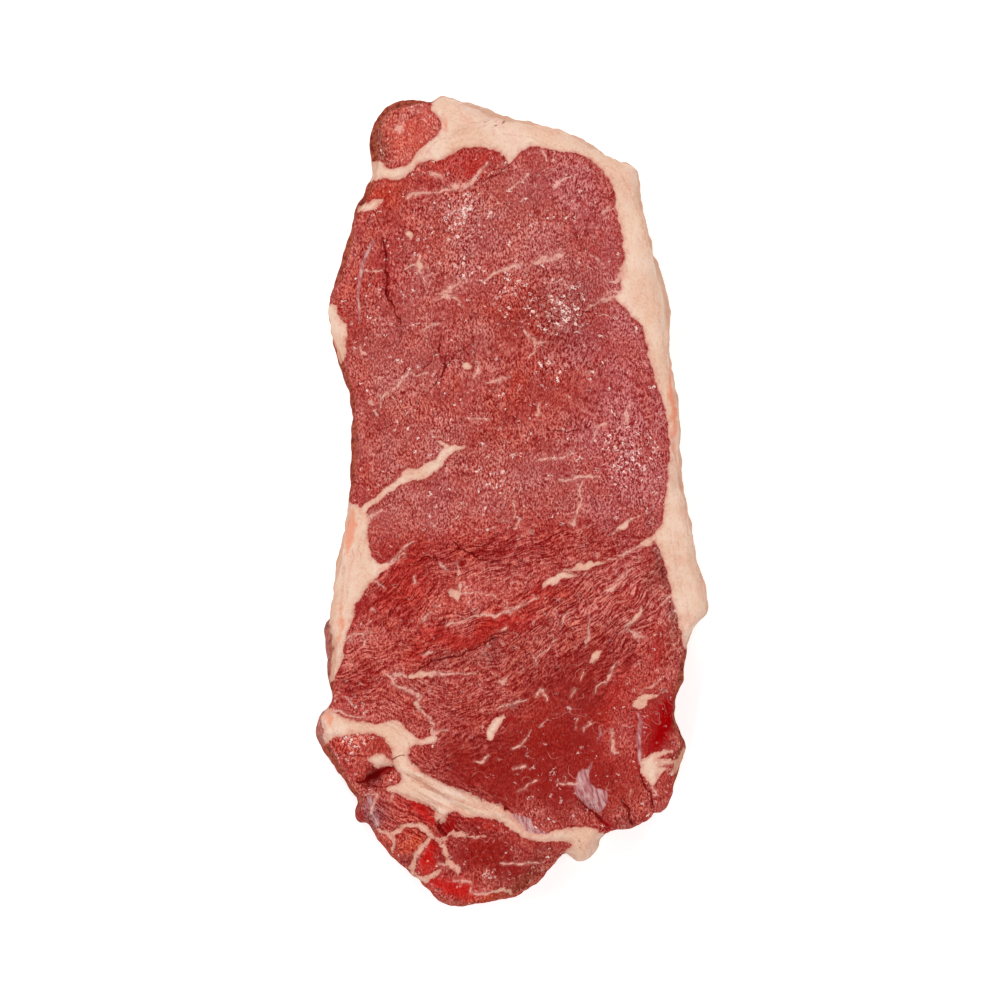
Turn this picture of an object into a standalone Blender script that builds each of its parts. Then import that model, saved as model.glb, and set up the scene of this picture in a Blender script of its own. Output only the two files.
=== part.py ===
"""Raw boneless New York strip steak, lying on its lower cut face.

The steak is one slice of a beef loin, so every muscle and every layer of fat runs
straight through it from the lower cut face to the upper one. The slice is modelled
whole and then parted along the lines where lean meets fat.

Metres, +Z up, +Y towards the thick end of the loin, origin under the middle of the slice.
Hand-placed points are (x, y) in millimetres, seen from above.
"""

import math

import bmesh
import bpy
import numpy as np
from mathutils import Matrix, Vector

MM = 0.001

# Driving sizes
LENGTH = 230.0 * MM
THICKNESS = 25.0 * MM
RIM_ROUNDING = 3.0 * MM
LAYER_GAP = 0.3 * MM

# How finely the slice is modelled
OUTLINE_STEP_MM = 1.6
LAYER_STEP_MM = 2.4
VOXEL = 1.3 * MM
SLICE_TRIANGLES = 6000
FLAT_BASE = 0.35 * MM

# The upper cut face is not flat: swells as (height, length) in mm, a drooping rim, a sagging thin end
FACE_SWELLS = [(0.45, 60.0), (0.30, 24.0)]
RIM_DROP_MM = 1.6
RIM_DROP_WIDTH_MM = 9.0
TAIL_SAG_MM = 2.2
TAIL_SAG_STARTS_MM = -82.0

# The side bulges at half height, and is uneven; both fade out this far in from the edge
SIDE_BULGE_MM = 1.1
SIDE_SWELLS = [(0.45, 26.0), (0.25, 11.0)]
SIDE_REACH_MM = 9.0
SWELL_WAVES = 5

# The slice's edge, clockwise from the upper left corner
OUTLINE = [
    (-39.9, 92.0), (-39.8, 101.0), (-38.0, 107.0), (-32.5, 112.0), (-25.5, 113.7), (-22.5, 113.5),
    (-18.5, 115.2), (-10.0, 112.0), (0.0, 108.5), (10.0, 105.3), (20.0, 102.0), (30.0, 97.0),
    (35.3, 93.5), (37.0, 85.5), (39.8, 76.0), (42.0, 65.0), (44.2, 55.0), (46.2, 40.0),
    (47.9, 26.0), (48.5, 14.0), (49.0, 6.0), (50.2, -1.0), (51.8, -9.0), (52.7, -15.0),
    (54.1, -21.0), (55.5, -26.2), (55.6, -31.3), (54.1, -32.9), (51.5, -36.9), (50.2, -41.7),
    (49.5, -44.5), (49.2, -49.7), (48.1, -55.7), (48.0, -61.0), (49.9, -67.7), (49.0, -72.5),
    (47.0, -78.0), (45.2, -84.8), (42.5, -87.5), (40.6, -87.3), (39.0, -89.6), (34.0, -91.8),
    (30.6, -92.2), (26.0, -94.8), (24.6, -97.8), (22.5, -100.8), (19.0, -101.6), (16.0, -100.0),
    (14.6, -100.5), (8.7, -106.9), (4.1, -110.4), (0.0, -113.0), (-8.8, -114.8), (-14.7, -115.5),
    (-19.1, -114.0), (-23.7, -109.2), (-27.9, -105.1), (-33.9, -100.7), (-38.6, -94.9), (-40.6, -91.5),
    (-43.4, -90.7), (-43.6, -87.1), (-42.7, -84.0), (-46.2, -78.9), (-51.6, -72.0), (-55.5, -66.2),
    (-54.9, -60.0), (-51.5, -56.0), (-52.0, -50.0), (-52.1, -40.0), (-52.0, -35.0), (-50.8, -32.0),
    (-49.4, -20.0), (-47.8, -10.0), (-46.0, 0.0), (-44.9, 10.0), (-45.8, 28.0), (-48.5, 39.0),
    (-51.0, 52.0), (-50.8, 59.0), (-48.5, 68.5), (-44.0, 81.0),
]

# Layers: the line where each one meets its neighbour, then corners well outside the slice
FAT_CAP_EDGE = [
    (-46.0, 89.5), (-40.0, 90.3), (-36.0, 91.0), (-31.0, 90.5), (-28.5, 92.5), (-24.5, 95.8),
    (-19.0, 96.3), (-14.5, 98.8), (-8.0, 99.7), (-2.2, 98.4), (-0.3, 95.0), (2.3, 98.0),
    (6.3, 100.0), (13.0, 98.8), (20.0, 98.0), (25.5, 94.0), (29.3, 88.5), (30.5, 80.5),
    (32.2, 73.0), (32.0, 65.0), (31.2, 59.5), (29.6, 57.3), (31.8, 55.2), (37.3, 49.0),
    (39.0, 43.0), (41.5, 33.5), (44.3, 24.0), (45.2, 16.0), (44.8, 8.0), (43.8, 0.0),
    (43.3, -5.0), (41.0, -10.0), (42.5, -13.8), (44.7, -20.6), (45.7, -26.2), (47.5, -32.6),
    (48.9, -39.3), (51.0, -42.5), (56.0, -45.0),
]
FAT_CAP_OUTSIDE = [(66.0, -40.0), (66.0, 60.0), (50.0, 112.0), (0.0, 126.0), (-36.0, 126.0), (-52.0, 108.0)]

CAP_MUSCLE_EDGE = [
    (-21.8, 119.0), (-21.9, 113.0), (-22.0, 110.3), (-19.2, 106.6), (-20.5, 103.0), (-25.3, 99.0),
    (-27.8, 95.3), (-33.5, 93.8), (-36.5, 95.6), (-41.0, 96.3), (-47.0, 96.5),
]
CAP_MUSCLE_OUTSIDE = [(-52.0, 106.0), (-38.0, 122.0), (-28.0, 124.0)]

EDGE_FAT_EDGE = [
    (-51.0, 1.0), (-45.0, -0.4), (-41.8, -1.8), (-40.0, -5.0), (-40.0, -10.0), (-39.2, -14.2),
    (-37.2, -17.4), (-34.4, -17.0), (-33.6, -18.2), (-38.4, -22.2), (-41.0, -25.8), (-43.6, -29.6),
    (-44.0, -32.3), (-46.0, -37.5), (-47.2, -43.5), (-48.6, -48.0), (-51.0, -51.6), (-56.0, -53.0),
]
EDGE_FAT_OUTSIDE = [(-62.0, -50.0), (-62.0, -4.0)]

SEAM_FAT_EDGE = [
    (-62.0, -57.0), (-55.0, -57.2), (-51.0, -58.4), (-45.8, -61.4), (-40.6, -62.2), (-36.5, -62.6),
    (-32.3, -61.6), (-29.5, -63.6), (-26.5, -66.2), (-24.0, -66.9), (-21.8, -65.4), (-20.6, -66.4),
    (-22.4, -68.2), (-26.3, -68.2), (-28.8, -70.4), (-27.6, -73.4), (-23.9, -76.6), (-18.0, -79.7),
    (-12.8, -81.8), (-7.6, -84.1), (-2.6, -85.4), (-0.6, -87.4), (1.8, -90.0), (4.6, -92.2),
    (8.0, -93.7), (12.0, -93.3), (17.0, -91.9), (22.5, -91.7), (26.5, -93.6), (32.0, -97.0),
]
SEAM_FAT_RETURN = [
    (15.4, -105.0), (15.6, -100.6), (16.6, -98.0), (17.6, -96.0), (13.0, -95.6), (8.0, -95.5),
    (4.0, -94.2), (0.0, -91.6), (-3.2, -89.8), (-8.0, -88.7), (-12.4, -88.4), (-15.4, -87.0),
    (-17.4, -87.8), (-18.8, -90.3), (-20.6, -89.4), (-21.8, -86.0), (-26.0, -84.8), (-30.0, -82.8),
    (-34.6, -80.8), (-31.4, -79.4), (-30.6, -77.0), (-32.6, -74.4), (-32.8, -71.6), (-34.0, -68.0),
    (-36.6, -65.8), (-40.6, -65.0), (-45.0, -65.3), (-50.0, -66.6), (-52.6, -69.0), (-60.0, -74.0),
]

TAIL_EDGE = [
    (-66.0, -63.0), (-52.0, -62.4), (-40.0, -63.6), (-33.0, -65.4), (-30.6, -70.0), (-29.6, -75.0),
    (-22.0, -81.6), (-10.0, -86.2), (-3.0, -87.8), (1.0, -90.8), (4.4, -93.2), (8.0, -94.6),
    (13.0, -94.5), (19.0, -95.6), (21.5, -100.0), (22.5, -108.0),
]
TAIL_OUTSIDE = [(20.0, -126.0), (-40.0, -126.0), (-66.0, -100.0)]

# Relief on the upper face: (points, half width in mm, height in mm; a groove is negative)
RIDGES = [
    # Cracks where bundles of lean have parted
    ([(0.5, -36.0), (-6.0, -39.5), (-14.0, -43.4), (-21.0, -45.0), (-26.5, -48.0)], 1.6, -1.3),
    ([(-35.5, 74.0), (-34.8, 62.0), (-32.0, 53.0), (-30.5, 45.0)], 1.6, -0.9),
    ([(-18.0, 49.0), (-20.0, 43.0), (-18.0, 38.0), (-22.5, 31.0)], 1.6, -0.6),
    ([(-16.0, -11.0), (-9.0, -15.5), (-3.0, -17.3)], 1.6, -0.6),
    ([(20.5, -85.0), (24.0, -87.5), (27.0, -90.5)], 1.8, -1.8),
    ([(32.5, -84.5), (34.6, -91.0)], 1.4, -1.3),
    # The rolled strip of seam fat, and the groove between its two bands
    ([(-29.0, -74.5), (-20.0, -80.2), (-10.0, -85.0), (-3.0, -87.0)], 3.0, 1.3),
    ([(-28.0, -77.5), (-20.0, -83.0), (-12.0, -87.2)], 1.3, -0.9),
    ([(17.0, -94.0), (22.0, -96.5)], 4.5, 1.0),
    # Lobes of the tail, parted by its lines of fat
    ([(-37.5, -93.5), (-33.4, -93.8), (-27.0, -91.0), (-20.0, -95.2), (-13.0, -93.6), (-7.0, -94.4)], 1.5, -0.9),
    ([(-22.5, -94.8), (-26.7, -100.5), (-27.5, -104.5)], 1.5, -0.9),
    ([(-20.0, -95.4), (-17.3, -101.0), (-14.3, -104.7), (-10.5, -109.0)], 1.5, -0.9),
]

# Hollows and mounds on the upper face: (x, y, radius, height) in mm
MOUNDS = [
    (-38.5, -77.6, 3.4, -5.0),
    (-34.0, -75.4, 2.2, -2.6),
    (-43.0, -68.2, 6.5, 1.4),
    (-24.5, -88.0, 3.6, -2.4),
    (-18.6, -92.3, 2.6, -3.0),
    (-23.0, -100.0, 4.5, 1.0),
    (-29.5, -97.5, 4.5, 0.8),
    (-17.5, -109.0, 6.0, 0.9),
    (24.0, -82.5, 5.0, 0.6),
    (0.0, 95.0, 2.6, -1.0),
]

# Where the brown side wall shows from above: (x, y, radius, how far it leans in) in mm
WALL_LEANS = [
    (-40.0, 102.0, 11.0, 2.6),
    (-47.0, 73.0, 13.0, 2.2),
    (-45.5, 22.0, 18.0, 2.4),
    (-46.5, -4.0, 10.0, 1.6),
    (-52.0, -43.0, 11.0, 2.6),
    (-55.0, -65.0, 10.0, 2.6),
    (-48.0, -76.0, 8.0, 1.6),
    (-20.0, -114.0, 14.0, 1.4),
    (6.0, -108.0, 9.0, 2.0),
    (48.0, -60.0, 11.0, 2.0),
]


def smooth_path(points, step, closed=False):
    """A Catmull-Rom curve through the points, sampled about every `step`."""
    points = np.asarray(points, dtype=float)
    if closed:
        before, after = points[-1:], points[:2]
    else:
        before, after = 2 * points[:1] - points[1:2], 2 * points[-1:] - points[-2:-1]
    padded = np.vstack([before, points, after])
    samples = []
    for index in range(len(padded) - 3):
        p0, p1, p2, p3 = padded[index:index + 4]
        count = max(1, round(float(np.linalg.norm(p2 - p1)) / step))
        t = np.arange(count)[:, None] / count
        curve = 2 * p1 + (p2 - p0) * t + (2 * p0 - 5 * p1 + 4 * p2 - p3) * t ** 2
        samples.append((curve + (3 * p1 - p0 - 3 * p2 + p3) * t ** 3) / 2)
    if not closed:
        samples.append(points[-1:])
    return np.vstack(samples)


def grown(loop, distance):
    """The closed loop moved outward by a small distance, with its corners kept sharp."""
    ahead = np.roll(loop, -1, axis=0)
    area = np.sum(loop[:, 0] * ahead[:, 1] - ahead[:, 0] * loop[:, 1])
    side = ahead - loop
    side /= np.linalg.norm(side, axis=1, keepdims=True)
    normal = np.column_stack([side[:, 1], -side[:, 0]]) * math.copysign(1.0, area)
    before = np.roll(normal, 1, axis=0)
    spread = np.maximum(1.0 + np.sum(normal * before, axis=1, keepdims=True), 0.3)
    return loop + distance * (normal + before) / spread


def nearest_on_path(xy, path):
    """For each point: its distance to the path, and the path's unit tangent there."""
    best = np.full(len(xy), np.inf)
    tangent = np.zeros_like(xy)
    for start, end in zip(path[:-1], path[1:]):
        along = end - start
        length = float(np.hypot(*along))
        t = np.clip((xy - start) @ along / length ** 2, 0.0, 1.0)
        distance = np.linalg.norm(xy - start - t[:, None] * along, axis=1)
        closer = distance < best
        best[closer] = distance[closer]
        tangent[closer] = along / length
    return best, tangent


def placement():
    """The scale and shift that give the slice its length and centre it on the origin."""
    loop = smooth_path(OUTLINE, OUTLINE_STEP_MM, closed=True)
    low, high = loop.min(axis=0), loop.max(axis=0)
    return LENGTH / MM / (high[1] - low[1]), (low + high) / 2


def prism(name, loop_mm, bottom, top, rounding=0.0):
    """A closed mesh: the loop as a filled flat curve, given height and rounded rims."""
    scale, centre = placement()
    flat = (np.asarray(loop_mm) - centre) * scale * MM
    curve = bpy.data.curves.new(name, "CURVE")
    curve.dimensions = "2D"
    curve.fill_mode = "BOTH"
    curve.extrude = (top - bottom) / 2 - rounding
    curve.bevel_depth = rounding
    curve.bevel_resolution = 3
    curve.offset = -rounding
    spline = curve.splines.new("POLY")
    spline.points.add(len(flat) - 1)
    spline.points.foreach_set("co", np.column_stack([flat, np.zeros(len(flat)), np.ones(len(flat))]).ravel())
    spline.use_cyclic_u = True
    guide = bpy.data.objects.new(name + "_curve", curve)
    guide.location.z = (top + bottom) / 2
    bpy.context.scene.collection.objects.link(guide)
    bpy.context.view_layer.update()
    evaluated = guide.evaluated_get(bpy.context.evaluated_depsgraph_get())
    mesh = bpy.data.meshes.new_from_object(evaluated)
    mesh.transform(guide.matrix_world)
    bpy.data.objects.remove(guide)
    weld = bmesh.new()
    weld.from_mesh(mesh)
    bmesh.ops.remove_doubles(weld, verts=weld.verts, dist=0.01 * MM)
    bmesh.ops.recalc_face_normals(weld, faces=weld.faces)
    weld.to_mesh(mesh)
    weld.free()
    return bpy.data.objects.new(name, mesh)


def applied(item):
    """Replace the object's mesh with its modified one, and clear its modifiers."""
    bpy.context.view_layer.update()
    evaluated = item.evaluated_get(bpy.context.evaluated_depsgraph_get())
    mesh = bpy.data.meshes.new_from_object(evaluated)
    item.modifiers.clear()
    item.data = mesh
    return mesh


def swells(points, height, length, seed):
    """Soft uneven swells: a few waves of about one length, each in its own direction."""
    draw = np.random.default_rng(seed)
    total = np.zeros(len(points))
    for _ in range(SWELL_WAVES):
        direction = draw.normal(size=points.shape[1])
        direction /= np.linalg.norm(direction)
        wave = 2 * math.pi / (length * draw.uniform(0.75, 1.3))
        total += np.sin(wave * (points @ direction) + draw.uniform(0.0, 2 * math.pi))
    return total * height / math.sqrt(SWELL_WAVES / 2)


def face_relief(xy, from_rim):
    """Height in mm that the upper face gains or loses at each point."""
    height = np.zeros(len(xy))
    for seed, (rise, length) in enumerate(FACE_SWELLS):
        height += swells(xy, rise, length, seed + 1)
    sag = np.clip((TAIL_SAG_STARTS_MM - xy[:, 1]) / (TAIL_SAG_STARTS_MM + LENGTH / MM / 2), 0.0, 1.0)
    height -= TAIL_SAG_MM * sag ** 1.5
    height -= RIM_DROP_MM * np.clip(1.0 - from_rim / RIM_DROP_WIDTH_MM, 0.0, 1.0) ** 2
    for points, half_width, rise in RIDGES:
        distance, _ = nearest_on_path(xy, smooth_path(points, LAYER_STEP_MM))
        height += rise * np.exp(-(distance / half_width) ** 2)
    for x, y, radius, rise in MOUNDS:
        distance = np.hypot(xy[:, 0] - x, xy[:, 1] - y)
        height += rise * np.exp(-(distance / radius) ** 2)
    return height


def side_relief(xyz, from_rim):
    """How far, in mm, the side stands in from the slice's edge at each point."""
    rise = np.clip(xyz[:, 2] * MM / THICKNESS, 0.0, 1.0)
    inset = SIDE_BULGE_MM * (2.0 * rise - 1.0) ** 2
    for seed, (depth, length) in enumerate(SIDE_SWELLS):
        inset += swells(xyz, depth, length, seed + 11)
    for x, y, radius, amount in WALL_LEANS:
        distance = np.hypot(xyz[:, 0] - x, xyz[:, 1] - y)
        inset += amount * np.exp(-(distance / radius) ** 2) * rise ** 1.3
    return inset * np.clip(1.0 - from_rim / SIDE_REACH_MM, 0.0, 1.0)


def shape_slice(mesh):
    """Give the plain slice its swells, grooves, drooping rim and uneven sides."""
    scale, centre = placement()
    points = np.empty(len(mesh.vertices) * 3)
    mesh.vertices.foreach_get("co", points)
    points = points.reshape(-1, 3)
    xyz = points / MM / scale
    xyz[:, :2] += centre
    outline = smooth_path(OUTLINE, OUTLINE_STEP_MM, closed=True)
    from_rim, tangent = nearest_on_path(xyz[:, :2], np.vstack([outline, outline[:1]]))
    inward = np.column_stack([tangent[:, 1], -tangent[:, 0]])

    points[:, 2] *= 1.0 + face_relief(xyz[:, :2], from_rim) * MM / THICKNESS
    points[:, :2] += inward * side_relief(xyz, from_rim)[:, None] * MM * scale
    points[:, 2][points[:, 2] < FLAT_BASE] = 0.0
    mesh.vertices.foreach_set("co", points.ravel())
    mesh.update()


def make_slice():
    """The whole slice as one closed mesh, before it is parted into its layers."""
    outline = smooth_path(OUTLINE, OUTLINE_STEP_MM, closed=True)
    slab = prism("slice", outline, 0.0, THICKNESS, RIM_ROUNDING)
    bpy.context.scene.collection.objects.link(slab)
    remesh = slab.modifiers.new("even_faces", "REMESH")
    remesh.mode = "VOXEL"
    remesh.voxel_size = VOXEL
    shape_slice(applied(slab))
    thin = slab.modifiers.new("fewer_faces", "DECIMATE")
    thin.ratio = SLICE_TRIANGLES / (2 * len(slab.data.polygons))
    thin.use_collapse_triangulate = True
    applied(slab)
    return slab


def layer_loops():
    """The closed loop, in mm, round each layer's place in the slice."""
    cap = np.vstack([smooth_path(FAT_CAP_EDGE, LAYER_STEP_MM), FAT_CAP_OUTSIDE])
    muscle = np.vstack([smooth_path(CAP_MUSCLE_EDGE, LAYER_STEP_MM), CAP_MUSCLE_OUTSIDE])
    edge = np.vstack([smooth_path(EDGE_FAT_EDGE, LAYER_STEP_MM), EDGE_FAT_OUTSIDE])
    seam = np.vstack([smooth_path(SEAM_FAT_EDGE, LAYER_STEP_MM), smooth_path(SEAM_FAT_RETURN, LAYER_STEP_MM)])
    tail = np.vstack([smooth_path(TAIL_EDGE, LAYER_STEP_MM), TAIL_OUTSIDE])
    return {"fat_cap": cap, "cap_muscle": muscle, "edge_fat": edge, "seam_fat": seam, "tail_lean": tail}


def flesh_material(name, color, roughness):
    """A plain finish for one kind of flesh."""
    material = bpy.data.materials.new(name)
    material.use_nodes = True
    surface = material.node_tree.nodes["Principled BSDF"]
    surface.inputs["Base Color"].default_value = (*color, 1.0)
    surface.inputs["Roughness"].default_value = roughness
    surface.inputs["Metallic"].default_value = 0.0
    material.diffuse_color = (*color, 1.0)
    return material


def cut_layer(slab, name, inside, outside, cutters, parts, material):
    """One layer: the slice inside its own loop and outside its neighbours' loops."""
    layer = bpy.data.objects.new(name, slab.data.copy())
    parts.objects.link(layer)
    for operation, loops in (("INTERSECT", inside), ("DIFFERENCE", outside)):
        for index, loop in enumerate(loops):
            cutter = prism(f"{name}_{operation.lower()}_{index}", loop, -THICKNESS, 2 * THICKNESS)
            cutter.hide_render = True
            cutter.display_type = "WIRE"
            cutters.objects.link(cutter)
            cut = layer.modifiers.new(cutter.name, "BOOLEAN")
            cut.operation = operation
            cut.solver = "EXACT"
            cut.object = cutter
    applied(layer)
    layer.data.name = name
    layer.data.materials.clear()
    layer.data.materials.append(material)
    layer.data.shade_smooth()
    layer.data.set_sharp_from_angle(angle=math.radians(40))
    return layer


def settle(parts):
    """Stand the finished layers on the origin, at exactly the named length."""
    corners = np.array([corner for item in parts.objects for corner in item.bound_box])
    low, high = corners.min(axis=0), corners.max(axis=0)
    centre = Vector(((low[0] + high[0]) / 2, (low[1] + high[1]) / 2, low[2]))
    fit = Matrix.Scale(LENGTH / (high[1] - low[1]), 4) @ Matrix.Translation(-centre)
    for item in parts.objects:
        item.data.transform(fit)


def main():
    for item in list(bpy.data.objects):
        bpy.data.objects.remove(item)
    parts = bpy.data.collections.new("strip_steak")
    cutters = bpy.data.collections.new("cutters")
    bpy.context.scene.collection.children.link(parts)
    bpy.context.scene.collection.children.link(cutters)

    lean = flesh_material("lean", (0.45, 0.09, 0.07), 0.4)
    fat = flesh_material("fat", (0.80, 0.56, 0.43), 0.5)

    loops = layer_loops()
    wide = {name: grown(loop, LAYER_GAP / MM) for name, loop in loops.items()}
    slab = make_slice()
    layers = [
        ("cap_muscle", ["cap_muscle"], [], lean),
        ("fat_cap", ["fat_cap"], ["cap_muscle"], fat),
        ("edge_fat", ["edge_fat"], [], fat),
        ("seam_fat", ["seam_fat"], [], fat),
        ("tail_lean", ["tail_lean"], ["seam_fat"], lean),
        ("loin_lean", [], ["fat_cap", "cap_muscle", "edge_fat", "seam_fat", "tail_lean"], lean),
    ]
    for name, inside, outside, material in layers:
        cut_layer(
            slab, name, [loops[key] for key in inside], [wide[key] for key in outside],
            cutters, parts, material,
        )
    bpy.data.objects.remove(slab)
    for cutter in list(cutters.objects):
        bpy.data.objects.remove(cutter)
    bpy.context.view_layer.update()
    settle(parts)


main()
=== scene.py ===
"""The looks of a raw New York strip steak, seen straight from above.

The slice is shaped as one fine mesh, then parted along the lines where lean meets fat,
and each piece stands for one solid of the model. The listed points are in millimetres
in the steak's own frame: +X to the fat cap's side, +Y to the thick end of the loin.
A stroke is a list of (x, y, half width).
"""

import math

import bmesh
import bpy
import numpy as np
from mathutils import Matrix, Vector


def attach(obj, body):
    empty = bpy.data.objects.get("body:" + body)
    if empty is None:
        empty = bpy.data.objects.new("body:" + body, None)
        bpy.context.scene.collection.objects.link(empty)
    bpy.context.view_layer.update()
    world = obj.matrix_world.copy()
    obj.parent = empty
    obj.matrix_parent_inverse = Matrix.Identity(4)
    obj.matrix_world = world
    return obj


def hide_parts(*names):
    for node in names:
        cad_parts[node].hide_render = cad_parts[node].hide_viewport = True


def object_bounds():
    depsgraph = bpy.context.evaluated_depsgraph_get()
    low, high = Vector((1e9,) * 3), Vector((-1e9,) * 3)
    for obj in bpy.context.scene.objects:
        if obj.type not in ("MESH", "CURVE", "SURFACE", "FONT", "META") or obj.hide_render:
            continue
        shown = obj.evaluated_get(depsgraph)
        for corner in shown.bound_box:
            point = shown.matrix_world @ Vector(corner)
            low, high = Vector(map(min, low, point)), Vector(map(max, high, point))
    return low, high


MM = 0.001

# Driving sizes, as in the solids
LENGTH = 230.0 * MM
THICKNESS = 25.0 * MM
RIM_ROUNDING = 2.0 * MM

# How finely the slice is modelled
OUTLINE_STEP_MM = 0.9
LAYER_STEP_MM = 0.8
STROKE_STEP_MM = 0.7
VOXEL = 0.62 * MM
FLAT_BASE = 0.30 * MM
WELD = 0.01 * MM
SHARP_DEGREES = 55

# Paths are searched in stretches of this many steps, and steps shorter than this are left out
CHUNK = 14
SHORTEST_MM = 1e-6

# First seed of each kind of swell
SEEDS = {"face": 1, "side": 11, "tone": 31, "drift": 41, "tremble": 51}

# The upper cut face: swells as (height, length) in mm, a drooping rim, a sagging thin end
FACE_SWELLS = [(0.45, 60.0), (0.30, 24.0)]
RIM_DROP_MM = 1.2
RIM_DROP_WIDTH_MM = 7.0
TAIL_SAG_MM = 2.2
TAIL_SAG_STARTS_MM = -82.0
TAIL_SAG_CURVE = 1.5

# The side bulges at half height, and is uneven; both fade out this far in from the edge
SIDE_BULGE_MM = 1.1
SIDE_SWELLS = [(0.45, 26.0), (0.28, 11.0), (0.12, 5.0), (0.07, 2.6)]
SIDE_REACH_MM = 9.0
WALL_LEAN_CURVE = 1.3
SWELL_WAVES = 5

# Fat stands a little proud of the lean, over this width at its edge
FAT_STEP_MM = 0.28
FAT_STEP_WIDTH_MM = 1.0
VEIN_DIP_MM = 0.08
PATCH_TRIM_MM = 0.12
CRACK_DEPTH_MM = 0.35
FOLD_DEPTH_MM = 0.22
FIELD_REACH_MM = 6.0
RIM_REACH_MM = 16.0
LINE_REACH_MM = 2.2
CREASE_REACH_MM = 4.0

# How far the veins wander between the upper face and the lower one
DEPTH_DRIFT_MM = 5.0
DRIFT_SWELLS = [(0.6, 45.0)]
DRIFT_LEAN = (0.0, 0.6)

# Drawn lines tremble; the fat's edge takes this share of it, and the silverskin's lines lose this share
TREMBLES = [(0.26, 4.2), (0.14, 1.9)]
FAT_TREMBLE = 0.6
SKIN_STEADINESS = 0.8

# Cracks, folds and blushes are narrower by this much below the upper face
FADE_MM = 2.0

# The lean's tones: uneven edges, how full the patches and the streaks are, and where the base warms
TONE_SWELLS = [(1.3, 17.0)]
TONE_FULLNESS = 1.35
STREAK_FULLNESS = 1.5
LOWER_LEAN_MM = (-4.0, 26.0)

# The brown wall: its top as a share of the height, its width, its bands' soft edge, and how much it fades
# round the tail
WALL_TOP = 0.90
WALL_WIDTH_MM = 6.0
BAND_EDGE_MM = (-1.7, 0.8)
TAIL_WALL_FADE = 0.55
TAIL_WALL_MM = (80.0, 92.0)

# Fat: where its edge gets more torn, which way its strands run, and its bump
TORN_EDGE_MM = (-62.0, -48.0)
FAT_STRAND_TURN = 27.0
FAT_BUMP_MM = 0.30
COAT_ROUGHNESS = 0.18

# Lamps stand in a ring over the steak, from its right side round by its top end, strongest at the
# upper left; one small lamp adds real glints to the painted ones
RING_RADIUS = 1.1
RING_HEIGHT = 1.25
RING_LAMP_SIZE = 0.6
RING_WATTS = [3.9, 4.4, 5.8, 5.2, 3.9, 3.7]
GLINT_PLACE = (-0.35, 0.55, 1.3)
GLINT_LAMP_SIZE = 0.12
GLINT_WATTS = 2.4
WORLD_STRENGTH = 0.30

FLOOR_SIZE = 4.0
FLOOR_GREY = 0.80
FLOOR_GLOW = 0.52

CAMERA_LENS_MM = 300.0
SENSOR_MM = 36.0
PHOTO_WIDTH_MM = 282.56
PHOTO_CENTRE_MM = (-3.25, 0.28)

# The slice's edge, clockwise from the upper left corner
OUTLINE = [
    (-39.9, 92), (-39.8, 101), (-38, 107), (-32.5, 112), (-25.5, 113.7), (-22.5, 113.5),
    (-18.5, 115.2), (-10, 112), (0, 108.5), (10, 105.3), (20, 102), (30, 97),
    (35.3, 93.5), (37, 85.5), (39.8, 76), (42, 65), (44.2, 55), (46.2, 40),
    (47.9, 26), (48.5, 14), (49, 6), (50.2, -1), (51.8, -9), (52.7, -15),
    (54.1, -21), (55.5, -26.2), (55.6, -31.3), (54.1, -32.9), (51.5, -36.9), (50.2, -41.7),
    (49.5, -44.5), (49.2, -49.7), (48.1, -55.7), (48, -61), (49.9, -67.7), (49, -72.5),
    (47, -78), (45.2, -84.8), (42.5, -87.5), (40.6, -87.3), (39, -89.6), (34, -91.8),
    (30.6, -92.2), (26, -94.8), (24.6, -97.8), (22.5, -100.8), (19, -101.6), (16, -100),
    (14.6, -100.5), (8.7, -106.9), (4.1, -110.4), (0, -113), (-8.8, -114.8), (-14.7, -115.5),
    (-19.1, -114), (-23.7, -109.2), (-27.9, -105.1), (-33.9, -100.7), (-38.6, -94.9), (-40.6, -91.5),
    (-43.4, -90.7), (-43.6, -87.1), (-42.7, -84), (-46.2, -78.9), (-51.6, -72), (-55.5, -66.2),
    (-54.9, -60), (-51.5, -56), (-52, -50), (-52.1, -40), (-52, -35), (-50.8, -32),
    (-49.4, -20), (-47.8, -10), (-46, 0), (-44.9, 10), (-45.8, 28), (-48.5, 39),
    (-51, 52), (-50.8, 59), (-48.5, 68.5), (-44, 81),
]

# Layers: the line where each one meets its neighbour, then corners well outside the slice
FAT_CAP_EDGE = [
    (-46, 89.5), (-40, 90.3), (-36, 91), (-31, 90.5), (-28.5, 92.5), (-24.5, 95.8),
    (-19, 96.3), (-14.5, 98.8), (-8, 99.7), (-2.2, 98.4), (-0.3, 95), (2.3, 98),
    (6.3, 100), (13, 98.8), (20, 98), (25.5, 94), (29.3, 88.5), (30.5, 80.5),
    (32.2, 73), (32, 65), (31.2, 59.5), (29.6, 57.3), (31.8, 55.2), (37.3, 49),
    (39, 43), (41.5, 33.5), (44.3, 24), (45.2, 16), (44.8, 8), (43.8, 0),
    (43.3, -5), (41, -10), (42.5, -13.8), (44.7, -20.6), (45.7, -26.2), (47.5, -32.6),
    (48.9, -39.3), (51, -42.5), (56, -45),
]
FAT_CAP_OUTSIDE = [(66, -40), (66, 60), (50, 112), (0, 126), (-36, 126), (-52, 108)]

CAP_MUSCLE_EDGE = [
    (-21.8, 119), (-21.9, 113), (-22, 110.3), (-19.2, 106.6), (-20.5, 103), (-25.3, 99),
    (-27.8, 95.3), (-33.5, 93.8), (-36.5, 95.6), (-41, 96.3), (-47, 96.5),
]
CAP_MUSCLE_OUTSIDE = [(-52, 106), (-38, 122), (-28, 124)]

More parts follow.
